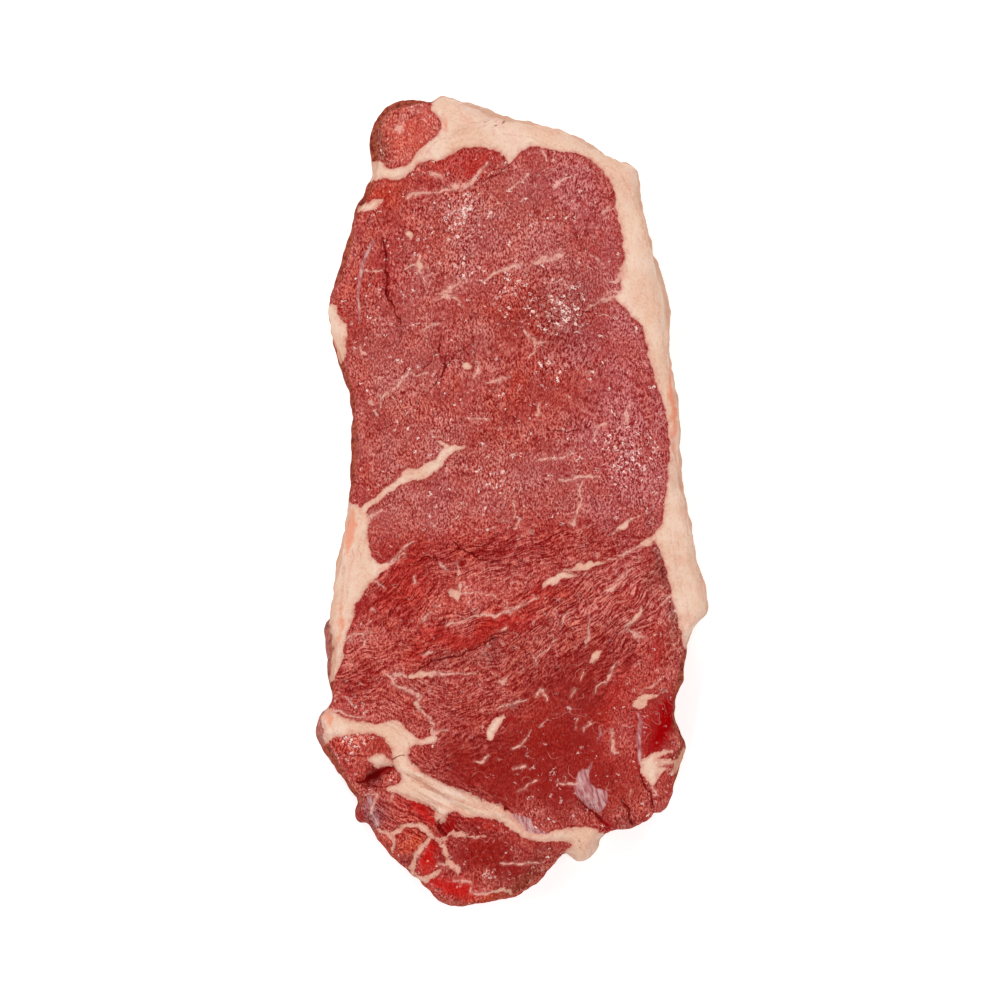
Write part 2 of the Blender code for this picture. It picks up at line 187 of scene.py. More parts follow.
EDGE_FAT_EDGE = [
    (-51, 1), (-45, -0.4), (-41.8, -1.8), (-40, -5), (-40, -10), (-39.2, -14.2),
    (-37.2, -17.4), (-34.4, -17), (-33.6, -18.2), (-38.4, -22.2), (-41, -25.8), (-43.6, -29.6),
    (-44, -32.3), (-46, -37.5), (-47.2, -43.5), (-48.6, -48), (-51, -51.6), (-56, -53),
]
EDGE_FAT_OUTSIDE = [(-62, -50), (-62, -4)]

SEAM_FAT_EDGE = [
    (-62, -57), (-55, -57.2), (-51, -58.4), (-45.8, -61.4), (-40.6, -62.2), (-36.5, -62.6),
    (-32.3, -61.6), (-29.5, -63.6), (-26.5, -66.2), (-24, -66.9), (-21.8, -65.4), (-20.6, -66.4),
    (-22.4, -68.2), (-26.3, -68.2), (-28.8, -70.4), (-27.6, -73.4), (-23.9, -76.6), (-18, -79.7),
    (-12.8, -81.8), (-7.6, -84.1), (-2.6, -85.4), (-0.6, -87.4), (1.8, -90), (4.6, -92.2),
    (8, -93.7), (12, -93.3), (17, -91.9), (22.5, -91.7), (26.5, -93.6), (32, -97),
]
SEAM_FAT_RETURN = [
    (15.4, -105), (15.6, -100.6), (16.6, -98), (17.6, -96), (13, -95.6), (8, -95.5),
    (4, -94.2), (0, -91.6), (-3.2, -89.8), (-8, -88.7), (-12.4, -88.4), (-15.4, -87),
    (-17.4, -87.8), (-18.8, -90.3), (-20.6, -89.4), (-21.8, -86), (-26, -84.8), (-30, -82.8),
    (-34.6, -80.8), (-31.4, -79.4), (-30.6, -77), (-32.6, -74.4), (-32.8, -71.6), (-34, -68),
    (-36.6, -65.8), (-40.6, -65), (-45, -65.3), (-50, -66.6), (-52.6, -69), (-60, -74),
]

TAIL_EDGE = [
    (-66, -63), (-52, -62.4), (-40, -63.6), (-33, -65.4), (-30.6, -70), (-29.6, -75),
    (-22, -81.6), (-10, -86.2), (-3, -87.8), (1, -90.8), (4.4, -93.2), (8, -94.6),
    (13, -94.5), (19, -95.6), (21.5, -100), (22.5, -108),
]
TAIL_OUTSIDE = [(20, -126), (-40, -126), (-66, -100)]

# Relief on the upper face: (points, half width in mm, height in mm; a groove is negative)
RIDGES = [
    # Cracks where bundles of lean have parted
    ([(0.5, -36), (-6, -39.5), (-14, -43.4), (-21, -45), (-26.5, -48)], 1, -0.8),
    ([(-35.5, 74), (-34.8, 62), (-32, 53), (-30.5, 45)], 1, -0.7),
    ([(-18, 49), (-20, 43), (-18, 38), (-22.5, 31)], 1, -0.3),
    ([(-16, -11), (-9, -15.5), (-3, -17.3)], 1, -0.4),
    ([(20.5, -85), (24, -87.5), (27, -90.5)], 1.3, -1.3),
    ([(32.5, -84.5), (34.6, -91)], 1, -1),
    # The rolled strip of seam fat, and the groove between its two bands
    ([(-29, -74.5), (-20, -80.2), (-10, -85), (-3, -87)], 3, 1.3),
    ([(-28, -77.5), (-20, -83), (-12, -87.2)], 0.7, -0.8),
    ([(17, -94), (22, -96.5)], 4.5, 1),
    # Lobes of the tail, parted by its lines of fat
    ([(-37.5, -93.5), (-33.4, -93.8), (-27, -91), (-20, -95.2), (-13, -93.6), (-7, -94.4)], 1.5, -0.9),
    ([(-22.5, -94.8), (-26.7, -100.5), (-27.5, -104.5)], 1.5, -0.9),
    ([(-20, -95.4), (-17.3, -101), (-14.3, -104.7), (-10.5, -109)], 1.5, -0.9),
]

# Hollows and mounds on the upper face: (x, y, radius, height) in mm
MOUNDS = [
    (-38.5, -77.6, 2.6, -4),
    (-34.6, -75.4, 1.8, -2.2),
    (-43, -68.2, 6.5, 1.4),
    (-24.5, -88, 3.6, -2.4),
    (-18.6, -92.3, 2.6, -3),
    (-23, -100, 4.5, 1),
    (-29.5, -97.5, 4.5, 0.8),
    (-17.5, -109, 6, 0.9),
    (24, -82.5, 5, 0.6),
    (0, 95, 2.6, -1),
]

# Where the brown side wall shows from above: (x, y, radius, how far it leans in) in mm
WALL_LEANS = [
    (-40, 102, 11, 2.6),
    (-47, 73, 13, 1.7),
    (-45.5, 22, 18, 1.9),
    (-46.5, -4, 10, 1.6),
    (-52, -43, 11, 2.6),
    (-55, -65, 10, 2.6),
    (-48, -76, 8, 1.6),
    (-20, -114, 14, 1.4),
    (6, -108, 9, 2),
    (48, -60, 11, 2),
]

# Fine cracks, drawn darker than the flesh round them as painted shade in the cracks: (x, y, half width)
CRACKS = [
    [(1, -36, 0.15), (-6, -39.4, 0.25), (-10, -41.5, 0.35), (-14, -43.5, 0.4), (-18, -44.3, 0.35),
     (-21, -45, 0.4), (-24, -46.5, 0.35), (-27, -48.2, 0.1)],
    [(-35.6, 75, 0.1), (-35, 70, 0.35), (-34.8, 65, 0.3), (-34.8, 60, 0.45), (-33.5, 57, 0.4),
     (-32, 53, 0.35), (-31, 50.5, 0.25), (-30.5, 44, 0.1)],
    [(-18, 49, 0.1), (-19.5, 46, 0.2), (-20, 43, 0.2), (-18, 38, 0.25), (-20, 34.5, 0.2),
     (-22.5, 31, 0.1)],
    [(-17, 33.5, 0.1), (-15.7, 30, 0.15)],
    [(-11.3, 50, 0.1), (-10.3, 47, 0.2), (-10, 41, 0.15)],
    [(-20, 43, 0.15), (-23.5, 38.5, 0.2), (-26, 36.5, 0.1)],
    [(-18, 38, 0.15), (-15.5, 41.5, 0.2), (-10.4, 44.5, 0.15)],
    [(-17, -10.5, 0.1), (-14, -13, 0.3), (-12, -13.8, 0.35), (-9, -15.5, 0.25), (-6, -17, 0.25),
     (-2.5, -17.4, 0.1)],
    [(-26.5, -17.3, 0.1), (-24.5, -16, 0.25), (-22, -15.7, 0.25), (-18.5, -16, 0.1)],
    [(0, 94.8, 0.25), (-3, 92.5, 0.25), (-8.5, 90, 0.1)],
    [(18.5, 78, 0.1), (19, 74, 0.2), (20.5, 70.5, 0.1)],
    [(9.5, 20.5, 0.1), (15, 20, 0.2), (20, 20.5, 0.2), (23.5, 22.2, 0.1)],
    [(-41, -38.3, 0.1), (-37, -36.5, 0.15), (-34, -34, 0.1)],
    [(19, -83.4, 0.2), (21.5, -86, 0.4), (24, -88, 0.5), (27, -90.8, 0.4)],
    [(31.6, -84, 0.2), (33.2, -87, 0.5), (34.8, -91.2, 0.4)],
    [(-42.5, -78.8, 0.3), (-40, -78.4, 0.9), (-37.5, -77, 0.8), (-35, -75.4, 0.5), (-32.8, -74.2, 0.2)],
    [(-48.5, -71.6, 0.1), (-44.5, -71.4, 0.25), (-40.4, -71.2, 0.2)],
    [(-32.8, -71.8, 0.2), (-31, -71.2, 0.25), (-29.5, -70.9, 0.15)],
    [(-19.8, -90.2, 0.3), (-19.4, -92.5, 0.8), (-18, -94.2, 0.4)],
    [(36.6, -76, 0.15), (37.6, -79, 0.35), (39.6, -82.4, 0.45), (40.4, -86, 0.25)],
    [(-41.5, -80.2, 0.2), (-37, -80.4, 0.25), (-32, -79.4, 0.1)],
    [(-0.7, -86.9, 0.25), (-1.4, -85.2, 0.2), (-3.4, -85.5, 0.1)],
    [(29.2, -73, 0.1), (28.9, -78, 0.15), (29.4, -83, 0.1)],
    [(-7, 107, 0.02), (-6, 107.4, 0.02)],
    [(-1.8, 106.5, 0.22), (-1.2, 106.9, 0.25)],
    [(-4.2, 105.7, 0.2), (-3.8, 106, 0.2)],
]

# Fine folds in the fat, painted darker along them as painted shade in the folds
FAT_FOLDS = [
    [(-4.5, 108.6, 0.1), (-11, 105.7, 0.15), (-19.3, 101.9, 0.15), (-24, 97.6, 0.1)],
    [(-3.5, 107.6, 0.08), (-10.6, 104.3, 0.12), (-17, 102, 0.08)],
    [(-20.6, 108.6, 0.1), (-17.6, 106, 0.15), (-18.2, 103, 0.1)],
    [(-1.6, 103.4, 0.08), (3.2, 102.9, 0.1), (10, 101.2, 0.08)],
    [(30.4, 93, 0.1), (34.8, 86, 0.15), (37.2, 79, 0.1), (39, 72, 0.05)],
    [(26, 96, 0.08), (32.4, 91, 0.12), (35.6, 83.5, 0.08)],
    [(40.6, 60, 0.08), (42.6, 50, 0.15), (44.4, 40.4, 0.25), (45.2, 36, 0.3), (45.6, 30, 0.3),
     (46.9, 24.3, 0.3), (45.9, 21, 0.25), (46.1, 15, 0.25), (47.6, 9, 0.2), (48.2, 4, 0.15)],
    [(45, 22.6, 0.1), (46.8, 23.5, 0.25), (48, 24, 0.15)],
    [(47.2, 33, 0.1), (47, 28, 0.2), (47.6, 20, 0.2), (47.4, 12, 0.1)],
    [(48.4, 2, 0.1), (49.8, -3, 0.2), (50.4, -8.8, 0.15), (52.4, -13.8, 0.15), (53.9, -22, 0.15),
     (55, -28, 0.1)],
    [(47.6, -11, 0.08), (47.9, -18, 0.15), (49, -25, 0.15), (50.8, -33, 0.1)],
    [(44.8, -8, 0.06), (46.6, -16, 0.1), (47.4, -24, 0.06)],
    [(-46.6, -6, 0.1), (-46.9, -16, 0.15), (-47.2, -25, 0.15), (-48.4, -34, 0.15), (-48.8, -41, 0.1)],
    [(-44, -14, 0.08), (-45.2, -20, 0.12), (-46, -27, 0.08)],
    [(-41.4, -9, 0.08), (-42.6, -14, 0.1), (-41, -19, 0.08)],
    [(-49.6, -58.6, 0.1), (-44, -62, 0.15), (-38, -63.4, 0.1)],
    [(-52.4, -59.6, 0.1), (-52.6, -63, 0.15), (-51.4, -66.6, 0.15), (-50.4, -70, 0.1)],
    [(-33, -63.6, 0.1), (-29.6, -66.2, 0.15), (-28, -69, 0.1)],
    [(-23.4, -77.9, 0.08), (-16, -81.9, 0.12), (-8, -85.2, 0.12), (-3, -86.6, 0.08)],
    [(17.6, -93.6, 0.1), (20, -96, 0.12), (21.4, -99, 0.1)],
    [(-29.4, -76.6, 0.2), (-26.7, -78.5, 0.28), (-22.3, -81.1, 0.28), (-17.5, -83.9, 0.28),
     (-12, -87.1, 0.25),
     (-10, -88.2, 0.2)],
    [(-26.5, -76.9, 0.10), (-20, -80.4, 0.15), (-14, -83.4, 0.15), (-7, -86.6, 0.15), (-2.5, -87.6, 0.10)],
    [(24.4, -94.4, 0.08), (24, -98, 0.1)],
]

# Blood-tinged places in the fat
BLUSHES = [
    [(-44.6, -2.6, 0.4), (-44.8, -6, 1.3), (-45.2, -10, 1.2), (-45.9, -14.4, 0.6)],
    [(-47.3, -29.6, 0.3), (-47.6, -35, 0.5), (-48.2, -40, 0.4)],
    [(-51.2, -57.8, 0.4), (-50.9, -60.5, 0.9), (-50.6, -63, 0.5)],
    [(-18.4, 108.4, 0.2), (-17.6, 106.4, 0.4), (-18, 104.4, 0.2)],
    [(44.9, 38, 0.3), (45.6, 30, 0.7), (46.6, 24, 0.8), (46.4, 16, 0.4), (47.6, 9, 0.2)],
    [(-25.6, -75.6, 0.3), (-29, -74.4, 0.5)],
    [(-1.8, -86.4, 0.7), (-0.6, -87.6, 0.4)],
    [(-37, -19.4, 0.4), (-34.6, -18.4, 0.3)],
]

# Where the brown wall colour is laid along the edge
WALL_BANDS = [
    [(-22.5, 114, 0.24), (-30, 113.2, 0.54), (-36.6, 108.8, 0.96), (-39.6, 102, 1.32), (-40.2, 95, 0.9),
     (-40.8, 89.6, 0.48)],
    [(-42.4, 86.5, 0.42), (-44.3, 81, 0.72), (-46.8, 74, 1.08), (-48.9, 68, 1.2), (-50.6, 62, 0.84),
     (-51.2, 57, 0.24)],
    [(-48.7, 39, 0.3), (-46.9, 34, 0.78), (-45.9, 28, 1.2), (-45.1, 20, 1.2), (-45.1, 10, 1.08),
     (-46, 2, 0.9), (-47, -5, 0.6), (-48.1, -11, 0.36)],
    [(-49.7, -24, 0.24), (-50.7, -29, 0.48), (-51.4, -33, 0.9), (-52.2, -38, 1.44), (-52.2, -43, 1.32),
     (-52.2, -48, 0.78), (-52.1, -54, 0.3)],
    [(-53.8, -58.4, 0.3), (-55.4, -62, 1.02), (-55.4, -66, 1.32), (-52.8, -70.4, 0.84), (-50, -74.5, 0.72),
     (-46, -79, 0.48)],
    [(-38.4, -96, 0.2), (-33.4, -101.4, 0.36), (-27.4, -106.2, 0.3)],
    [(2, -112.2, 0.2), (8, -108.4, 0.72), (12, -103.6, 0.54), (15, -100.8, 0.2)],
    [(48.8, -49, 0.24), (48.6, -57, 0.6), (48.6, -61, 0.66), (50.2, -67.6, 0.36), (49.4, -73, 0.3)],
]

# Patches and streaks of fat in the lean
FAT_PATCHES = [
    [(-42.5, 82.3, 0.8), (-39, 83.5, 1.2), (-36, 84.8, 0.5)],
    [(-51, 53.5, 2.4), (-49.6, 49, 3.2), (-48.3, 44.5, 2.6), (-48, 39.5, 1)],
    [(-12.7, 15.8, 0.3), (-14, 15.5, 0.8), (-17, 14.5, 1.4), (-20, 11.5, 1.4), (-23, 9, 2.1),
     (-26, 7.8, 1.8), (-29, 7.5, 1.6), (-31.5, 5.5, 1.2), (-34, 3.5, 1), (-36.5, 1.5, 0.9),
     (-38.5, 0, 0.8), (-41, -2, 1.2)],
    [(-20.5, 17.2, 0.4), (-18.5, 16.3, 0.8), (-16.2, 15.6, 0.5)],
    [(-25.2, 67.3, 0.9), (-25.2, 65.8, 0.8)],
    [(-28.3, 74.8, 1.2), (-28, 74, 1)],
    [(-12.2, 38.4, 1.2), (-11.6, 37.6, 1)],
    [(9.5, -24.1, 0.4), (11.5, -22.8, 0.9), (14, -21.3, 1), (16.5, -20.5, 0.8), (19, -20.3, 0.3)],
    [(15.5, -19.1, 0.3), (18, -18.8, 0.5), (21, -18, 0.8), (24, -17.7, 0.7), (27, -17.1, 0.3)],
    [(-16.4, -25.7, 1), (-15, -26.4, 1.3), (-15, -28.2, 0.4)],
    [(-2, -60.4, 0.7), (-3.5, -62.4, 1.3), (-5, -64.4, 1.4), (-5.8, -66.6, 0.7)],
    [(26, -42.3, 0.7), (24.5, -43.5, 1.2), (23.6, -45.2, 0.4)],
    [(37.7, -29.5, 0.3), (37, -31, 0.8), (35.5, -32.8, 0.7), (34.4, -34.2, 0.3)],
    [(31, -7.7, 0.4), (32, -7.1, 0.9), (33.2, -6.2, 0.4)],
    [(37, -12.3, 0.5), (39, -11.2, 1.1), (41, -10.4, 1)],
    [(-28, -48.9, 0.6), (-25.5, -48.7, 0.9), (-22.5, -48.4, 0.6)],
    [(-26.3, -56.6, 0.9), (-25.6, -57.6, 0.8)],
    [(-39.6, -72, 0.5), (-37.4, -72.4, 1.7), (-35.2, -73, 1.4), (-33.6, -73.3, 0.8)],
    [(35.8, -57.6, 0.7), (37.2, -55.8, 1.2), (39.2, -54.9, 0.9), (41.6, -54.4, 0.3)],
    [(36.4, -57.6, 0.8), (37.6, -57, 0.9)],
    [(38.8, -73, 1.8), (39.6, -75.6, 2.6), (40.4, -78.2, 1.4)],
    [(39.6, -72.4, 1.2), (42.4, -70.9, 0.9), (45.6, -70.3, 0.3)],
    [(40.6, -74.2, 1.3), (43.4, -73.2, 0.8), (46.4, -73.2, 0.3)],
    [(40.8, -76.2, 1.2), (43.6, -75.2, 0.6), (45, -75.4, 0.2)],
    [(48.2, -72.6, 0.6), (47.4, -74.6, 0.9), (46, -76.6, 0.4)],
    [(-33, -94.5, 0.61), (-34.5, -92.8, 0.54), (-36.8, -92.6, 0.34)],
    [(-32.8, -95.6, 0.48), (-33, -98.4, 0.27)],
    [(-33.2, -94.2, 0.48), (-31.5, -92.6, 0.61), (-29.5, -91.3, 0.68), (-27, -91, 0.75), (-25, -91.6, 0.75),
     (-23.3, -93, 0.75), (-22, -94.7, 0.54), (-20, -95.3, 0.34), (-18.5, -95.3, 0.41), (-17, -94.5, 0.48),
     (-15.5, -93.4, 0.54), (-13, -93.6, 0.41), (-10, -93.9, 0.34), (-7, -94.4, 0.2)],
    [(-22.5, -94.8, 0.48), (-24, -96, 0.54), (-25.8, -98, 0.61), (-26.7, -100.5, 0.54), (-27.3, -103, 0.61),
     (-27.4, -105, 0.54)],
    [(-20, -95.4, 0.27), (-18.8, -97, 0.61), (-18, -99, 0.61), (-17.3, -101, 0.54), (-16.5, -102.3, 0.61),
     (-15, -103.5, 0.68), (-14.3, -105, 0.34)],
    [(-19.6, -104, 0.27), (-22, -105.6, 0.68), (-24, -106.4, 0.68), (-26.4, -105.4, 0.61)],
    [(-5, -109.8, 0.27), (-2.4, -109.4, 0.54), (-0.4, -109.9, 0.48), (1.4, -111.4, 0.34)],
]

# Lean bites that cut back into the fat
LEAN_BITES = [
    [(-56, -56.4, 1), (-57.4, -59, 3.4), (-57.2, -63, 4), (-56.4, -67, 4), (-54.6, -70.4, 3.2)],
    [(-54, -29, 1.5), (-54, -34, 2.6), (-54.4, -40, 4.2), (-54.4, -46, 3.8), (-54, -54, 2)],
    [(-48.5, -1, 1.2), (-49.6, -8, 1.5), (-51, -16, 1.2)],
]

# Thin veins
VEINS = [
    [(-49, -58.7, 0.5), (-45, -60.2, 0.4), (-41, -60.9, 0.25)],
    [(-36.4, -2.6, 0.3), (-38.2, -3.8, 0.9), (-39.8, -4.8, 1.1)],
    [(-27.2, -11.3, 0.25), (-29, -12.6, 0.5), (-30.6, -14.2, 0.55), (-32.6, -16.4, 0.8), (-34.2, -17.8, 1)],
    [(-29, -12.8, 0.3), (-29.4, -15.4, 0.2)],
    [(-35.8, -24.1, 0.25), (-37.4, -23, 0.4), (-38.6, -22.2, 0.5)],
    [(-46.4, -38.9, 0.4), (-44.8, -37.9, 0.5), (-43.4, -37, 0.5), (-42, -37.1, 0.4), (-41.2, -38.4, 0.5),
     (-41, -40, 0.2)],
    [(-38.2, -30.7, 0.5), (-38.9, -30.3, 0.5)],
    [(-26.8, -21.3, 0.5), (-27, -22.8, 0.4)],
    [(-19.6, -17.4, 0.5), (-18.4, -18.4, 0.6), (-17.5, -19.3, 0.3)],
    [(-15.2, -17.8, 0.3), (-14.4, -20.4, 0.2)],
    [(-14, -23.2, 0.3), (-14.4, -24.8, 0.6), (-14, -26, 0.8), (-11.5, -25.9, 0.5), (-8.5, -25.7, 0.2)],
    [(-6.6, -25.9, 0.2), (-5, -26, 0.3), (-3.6, -26.9, 0.25)],
    [(-21.8, -6.4, 0.6), (-21.2, -7, 0.5)],
    [(-24.4, -43.2, 0.4), (-22.4, -42.6, 0.3)],
    [(-24.4, -33.3, 0.5), (-22.4, -31.2, 0.2)],
    [(-18, -34.8, 0.25), (-14, -34, 0.35), (-11.5, -32.6, 0.3), (-9, -32, 0.4), (-6.5, -32.1, 0.7),
     (-4, -32.4, 0.5), (-2, -31.6, 0.5), (0.2, -30.5, 0.6), (2.4, -29.3, 0.6), (5, -28.1, 0.35),
     (8, -26.6, 0.3)],
    [(-0.9, -28.4, 0.2), (-0.2, -30.4, 0.5), (0, -31.6, 0.3)],
    [(-36.2, -48, 0.25), (-33.6, -49.7, 0.5), (-32.3, -51.8, 0.55), (-30, -53, 0.6), (-27, -53.8, 0.7),
     (-25.3, -54.8, 0.6), (-25.6, -56.4, 0.8), (-25.4, -58, 0.6), (-24.2, -59.8, 0.45), (-22.5, -61, 0.45),
     (-21.6, -63.4, 0.35), (-21.4, -65.2, 0.5)],
    [(-33.2, -49.2, 0.4), (-31.4, -48.6, 0.7), (-29.6, -48.9, 0.5)],
    [(-22, -48.4, 0.6), (-17, -48.2, 0.4), (-10, -48.6, 0.3)],
    [(-21.6, -64.8, 0.6), (-19.8, -64.4, 0.5), (-17.8, -64.2, 0.3)],
    [(-3.4, -58.2, 0.2), (-1, -57.9, 0.4), (1.4, -57.2, 0.6), (4.4, -56.2, 0.3)],
    [(-2.4, -50.8, 0.8), (-0.6, -49.6, 0.3)],
    [(-1.8, -35.8, 0.5), (-1.2, -35.5, 0.4)],
    [(-9.6, -73.2, 0.4), (-7.6, -73.2, 0.8), (-6.2, -71.4, 0.3)],
    [(5.8, -64.8, 0.15), (4.4, -66.6, 0.25), (3.2, -68.3, 0.3), (1.4, -69.2, 0.5)],
    [(10, -61.6, 0.2), (8.2, -63, 0.2)],
    [(1.4, -75.6, 0.3), (2.6, -75, 0.4), (4.2, -74.9, 0.2)],
    [(2.8, -81.8, 0.2), (5, -80.2, 0.25), (7.2, -78.4, 0.3)],
    [(13.8, -79.2, 0.2), (16, -79.6, 0.3), (18.6, -79.6, 0.5)],
    [(8, -54.4, 0.4), (9.2, -53.4, 0.7), (10.4, -55.4, 0.3)],
    [(7.7, -46.2, 0.2), (7.8, -44.6, 0.35), (9.6, -42.2, 0.35), (11.5, -40.4, 0.35), (13.2, -38.9, 0.2)],
    [(14.8, -34.2, 0.3), (15.3, -33, 0.4), (16.1, -31.6, 0.2)],
    [(22.3, -33.2, 0.2), (22.4, -37, 0.3), (22.2, -38.8, 0.7), (21.7, -40.6, 0.3)],
    [(26, -26.2, 0.2), (28.4, -24.8, 0.6), (30, -23.6, 0.45), (32, -21.2, 0.35), (34.6, -18.4, 0.3)],
    [(28, -16.9, 0.3), (30, -16.1, 0.25), (33, -14.8, 0.3), (36, -13.2, 0.5), (38, -12, 0.8)],
    [(34.2, -34.4, 0.4), (32.6, -36, 0.25), (31.2, -37.8, 0.15)],
    [(43.3, -29.2, 0.4), (44, -28, 0.4), (45.4, -26.4, 0.5)],
    [(30.4, -46, 0.3), (29, -47.6, 0.5), (28.2, -49.6, 0.4), (27.4, -51, 0.25), (25.6, -51.9, 0.25),
     (24.4, -53.4, 0.15)],
    [(20, -50.2, 0.15), (21.2, -48.2, 0.25)],
    [(17.3, -55.2, 0.2), (18.4, -52.8, 0.2)],
    [(36.8, -53.4, 0.25), (38.2, -52.4, 0.3), (40.2, -51.8, 0.3), (42.4, -50.2, 0.15)],
    [(21, -64.4, 0.2), (22.6, -62.4, 0.4)],
    [(18.6, -63.4, 0.2), (19, -61.2, 0.25)],
    [(34, -82.4, 0.3), (34.6, -81, 0.25)],
    [(40.4, -80.4, 0.5), (41.4, -81.9, 0.45), (42.2, -82.3, 0.2)],
    [(-40.2, -82.2, 0.2), (-37.6, -82.6, 0.4), (-38, -85, 0.35), (-39, -88, 0.35), (-38, -91, 0.3)],
    [(-33.4, -84, 0.3), (-32.8, -82.6, 0.35)],
    [(-15.4, -106.6, 0.4), (-13, -107, 0.45), (-11.4, -107.1, 0.5), (-10.7, -108.2, 0.5),
     (-10.5, -109.6, 0.4)],
    [(-10.4, -110.3, 0.4), (-8, -110.3, 0.5), (-5, -109.8, 0.5)],
    [(-20.4, -102, 0.3), (-18.5, -102.3, 0.5), (-16.8, -102.6, 0.5)],
    [(-1.8, -101.4, 0.3), (2, -102, 0.6), (5, -101.7, 0.45), (8, -101.2, 0.2)],
    [(-6.8, -103, 0.2), (-5, -105.2, 0.25)],
    [(19.8, 1.8, 0.3), (19.7, -2, 0.4), (18.8, -4.4, 0.4), (18.3, -6.4, 0.7), (17, -6.1, 0.25)],
    [(14.5, 6.3, 0.25), (17, 6.5, 0.45), (21, 7, 0.7), (24.8, 6.7, 0.4)],
    [(20.5, 5.8, 0.4), (20, 3, 0.35), (19.8, 0, 0.35)],
    [(28.8, -9.2, 0.2), (31, -7.7, 0.5), (33, -6.4, 0.5), (34.6, -4.8, 0.4), (36.4, -4.2, 0.2)],
    [(1.3, -0.8, 0.3), (1.3, -4, 0.25)],
    [(2.9, -5.2, 0.4), (1.7, -7.4, 0.5)],
    [(-2, -5, 0.3), (0.2, -5.4, 0.35)],
    [(7, 11, 0.3), (9.5, 12, 0.5), (13.5, 12.2, 0.3)],
    [(14.5, 12.6, 0.25), (17.2, 14.2, 0.2)],
    [(30.3, 20.4, 0.3), (31.6, 21.8, 0.4), (33, 23.2, 0.6), (33.5, 25, 0.5), (33.8, 27.5, 0.3)],
    [(27.6, 22, 0.25), (25.5, 21.6, 0.35), (24, 19.2, 0.35), (23.4, 17.6, 0.2)],
    [(4.3, 48.2, 0.4), (5.8, 46.1, 0.75), (8, 44.8, 0.4), (10.2, 45.1, 0.3)],
    [(5.4, 40.8, 0.3), (7.1, 43.1, 0.3)],
    [(8, 27.2, 0.6), (8.6, 24.8, 0.5)],
    [(25.4, 52.2, 0.25), (28.2, 52.1, 0.2)],
    [(30.4, 57.4, 0.6), (27, 56.9, 0.4), (24, 55.6, 0.3), (21.8, 53.9, 0.2)],
    [(28, 62.2, 0.4), (31, 63, 1), (32.2, 66, 0.8)],
    [(27.8, 58.4, 0.3), (31.2, 59.2, 0.5)],
    [(23, 69.4, 0.25), (25, 68.1, 0.4), (26.6, 66.4, 0.25)],
    [(26.2, 80.4, 0.3), (27.6, 82.1, 0.35)],
    [(-21.8, 91.9, 0.6), (-19.4, 91.2, 0.8)],
    [(-28.8, 85.4, 0.3), (-26.5, 87, 0.8), (-24.3, 86.7, 0.45), (-20.5, 87, 0.35), (-18, 88, 0.5),
     (-16, 89, 0.8), (-12.5, 89, 1.1), (-10.5, 89.8, 0.9), (-9.3, 91.5, 0.7), (-8, 93.2, 0.7),
     (-6, 95, 0.4)],
    [(-19.9, 58.4, 0.3), (-17.5, 59.3, 0.7), (-15, 61, 0.6), (-11.8, 62.9, 0.25)],
    [(-7.2, 62.1, 0.3), (-5.5, 63.3, 0.7), (-3, 64.8, 0.8), (0, 66, 0.9), (3.6, 66.9, 0.4)],
    [(6.6, 66.8, 0.5), (9, 68, 1), (12, 68.7, 1), (14.8, 69.9, 0.5)],
    [(13.2, 88.3, 0.4), (14, 90, 0.5), (16, 91.5, 0.4), (18.2, 91.8, 0.25)],
    [(8.9, 98.2, 0.5), (10.6, 96.3, 0.4)],
    [(1.8, 89.9, 0.3), (5, 91.9, 0.3)],
    [(-0.8, 88, 0.5), (0.6, 88.9, 0.4)],
    [(-25, 69.6, 0.3), (-25.2, 67.3, 0.8), (-27, 66.5, 0.45), (-29.2, 65.6, 0.3)],
    [(-25.2, 67, 0.6), (-25.5, 64.5, 0.4), (-23.8, 62.3, 0.25)],
    [(-41, 64.7, 0.4), (-36.2, 64.9, 0.3)],
    [(-28, 37.2, 0.3), (-30, 35, 0.5), (-31.5, 32.8, 0.5), (-33.5, 31.5, 0.45), (-35, 30.5, 0.45),
     (-36, 28.5, 0.4), (-36.5, 26.3, 0.2)],
    [(-28, 37, 0.3), (-26, 35.5, 0.35), (-23.3, 36.1, 0.2)],
    [(-39.2, 28, 0.5), (-38.8, 27.4, 0.4)],
    [(-38.1, 25.2, 0.4), (-37.8, 24.7, 0.4)],
    [(-9.3, 39.2, 0.35), (-8.6, 37.2, 0.5), (-9.8, 35.2, 0.4)],
    [(-6.4, 33.5, 0.3), (-3, 34.5, 0.5), (0.4, 35.3, 0.3)],
    [(-24.2, 47.8, 0.2), (-22.5, 49.5, 0.4), (-19.8, 50.1, 0.25)],
    [(-20.2, 56.9, 0.3), (-18, 58, 0.45), (-15, 57.1, 0.4), (-13.3, 55.3, 0.25)],
    [(-12.8, 23.6, 0.3), (-10, 23.5, 0.5), (-6.8, 23.1, 0.3)],
    [(-42.2, 43.2, 0.5), (-41.2, 41.7, 0.5)],
    [(-31.5, 105, 0.9), (-30.9, 104.2, 0.9), (-30.3, 106.4, 0.5), (-29.8, 109, 0.2)],
    [(28.8, -64, 0.5), (29, -66, 0.6), (28.7, -69, 0.8), (29.8, -70.2, 0.5)],
    [(33.6, -36.4, 0.3), (35.6, -37.6, 0.8), (37.4, -38.4, 0.6)],
]

# Thin purple silverskin: closed lines
MEMBRANES = [
    [(18.8, -77.4), (19.3, -75.6), (21, -75), (22.4, -76.2), (22.7, -79), (24, -80.5), (27, -80.8),
     (27.7, -82.2), (27.6, -84.2), (26.2, -86.2), (25.3, -86.9), (26.6, -89.4), (26.2, -89.6),
     (24.2, -87.2),
     (21.6, -85.6), (19.6, -82.6), (18.4, -80.2)],
    [(-1.6, -89), (0.6, -88.4), (3, -88.5), (6, -89.9), (8.8, -92.3), (11.2, -93.5), (8.4, -93.9),
     (5, -92.6), (1.6, -90.4)],
]

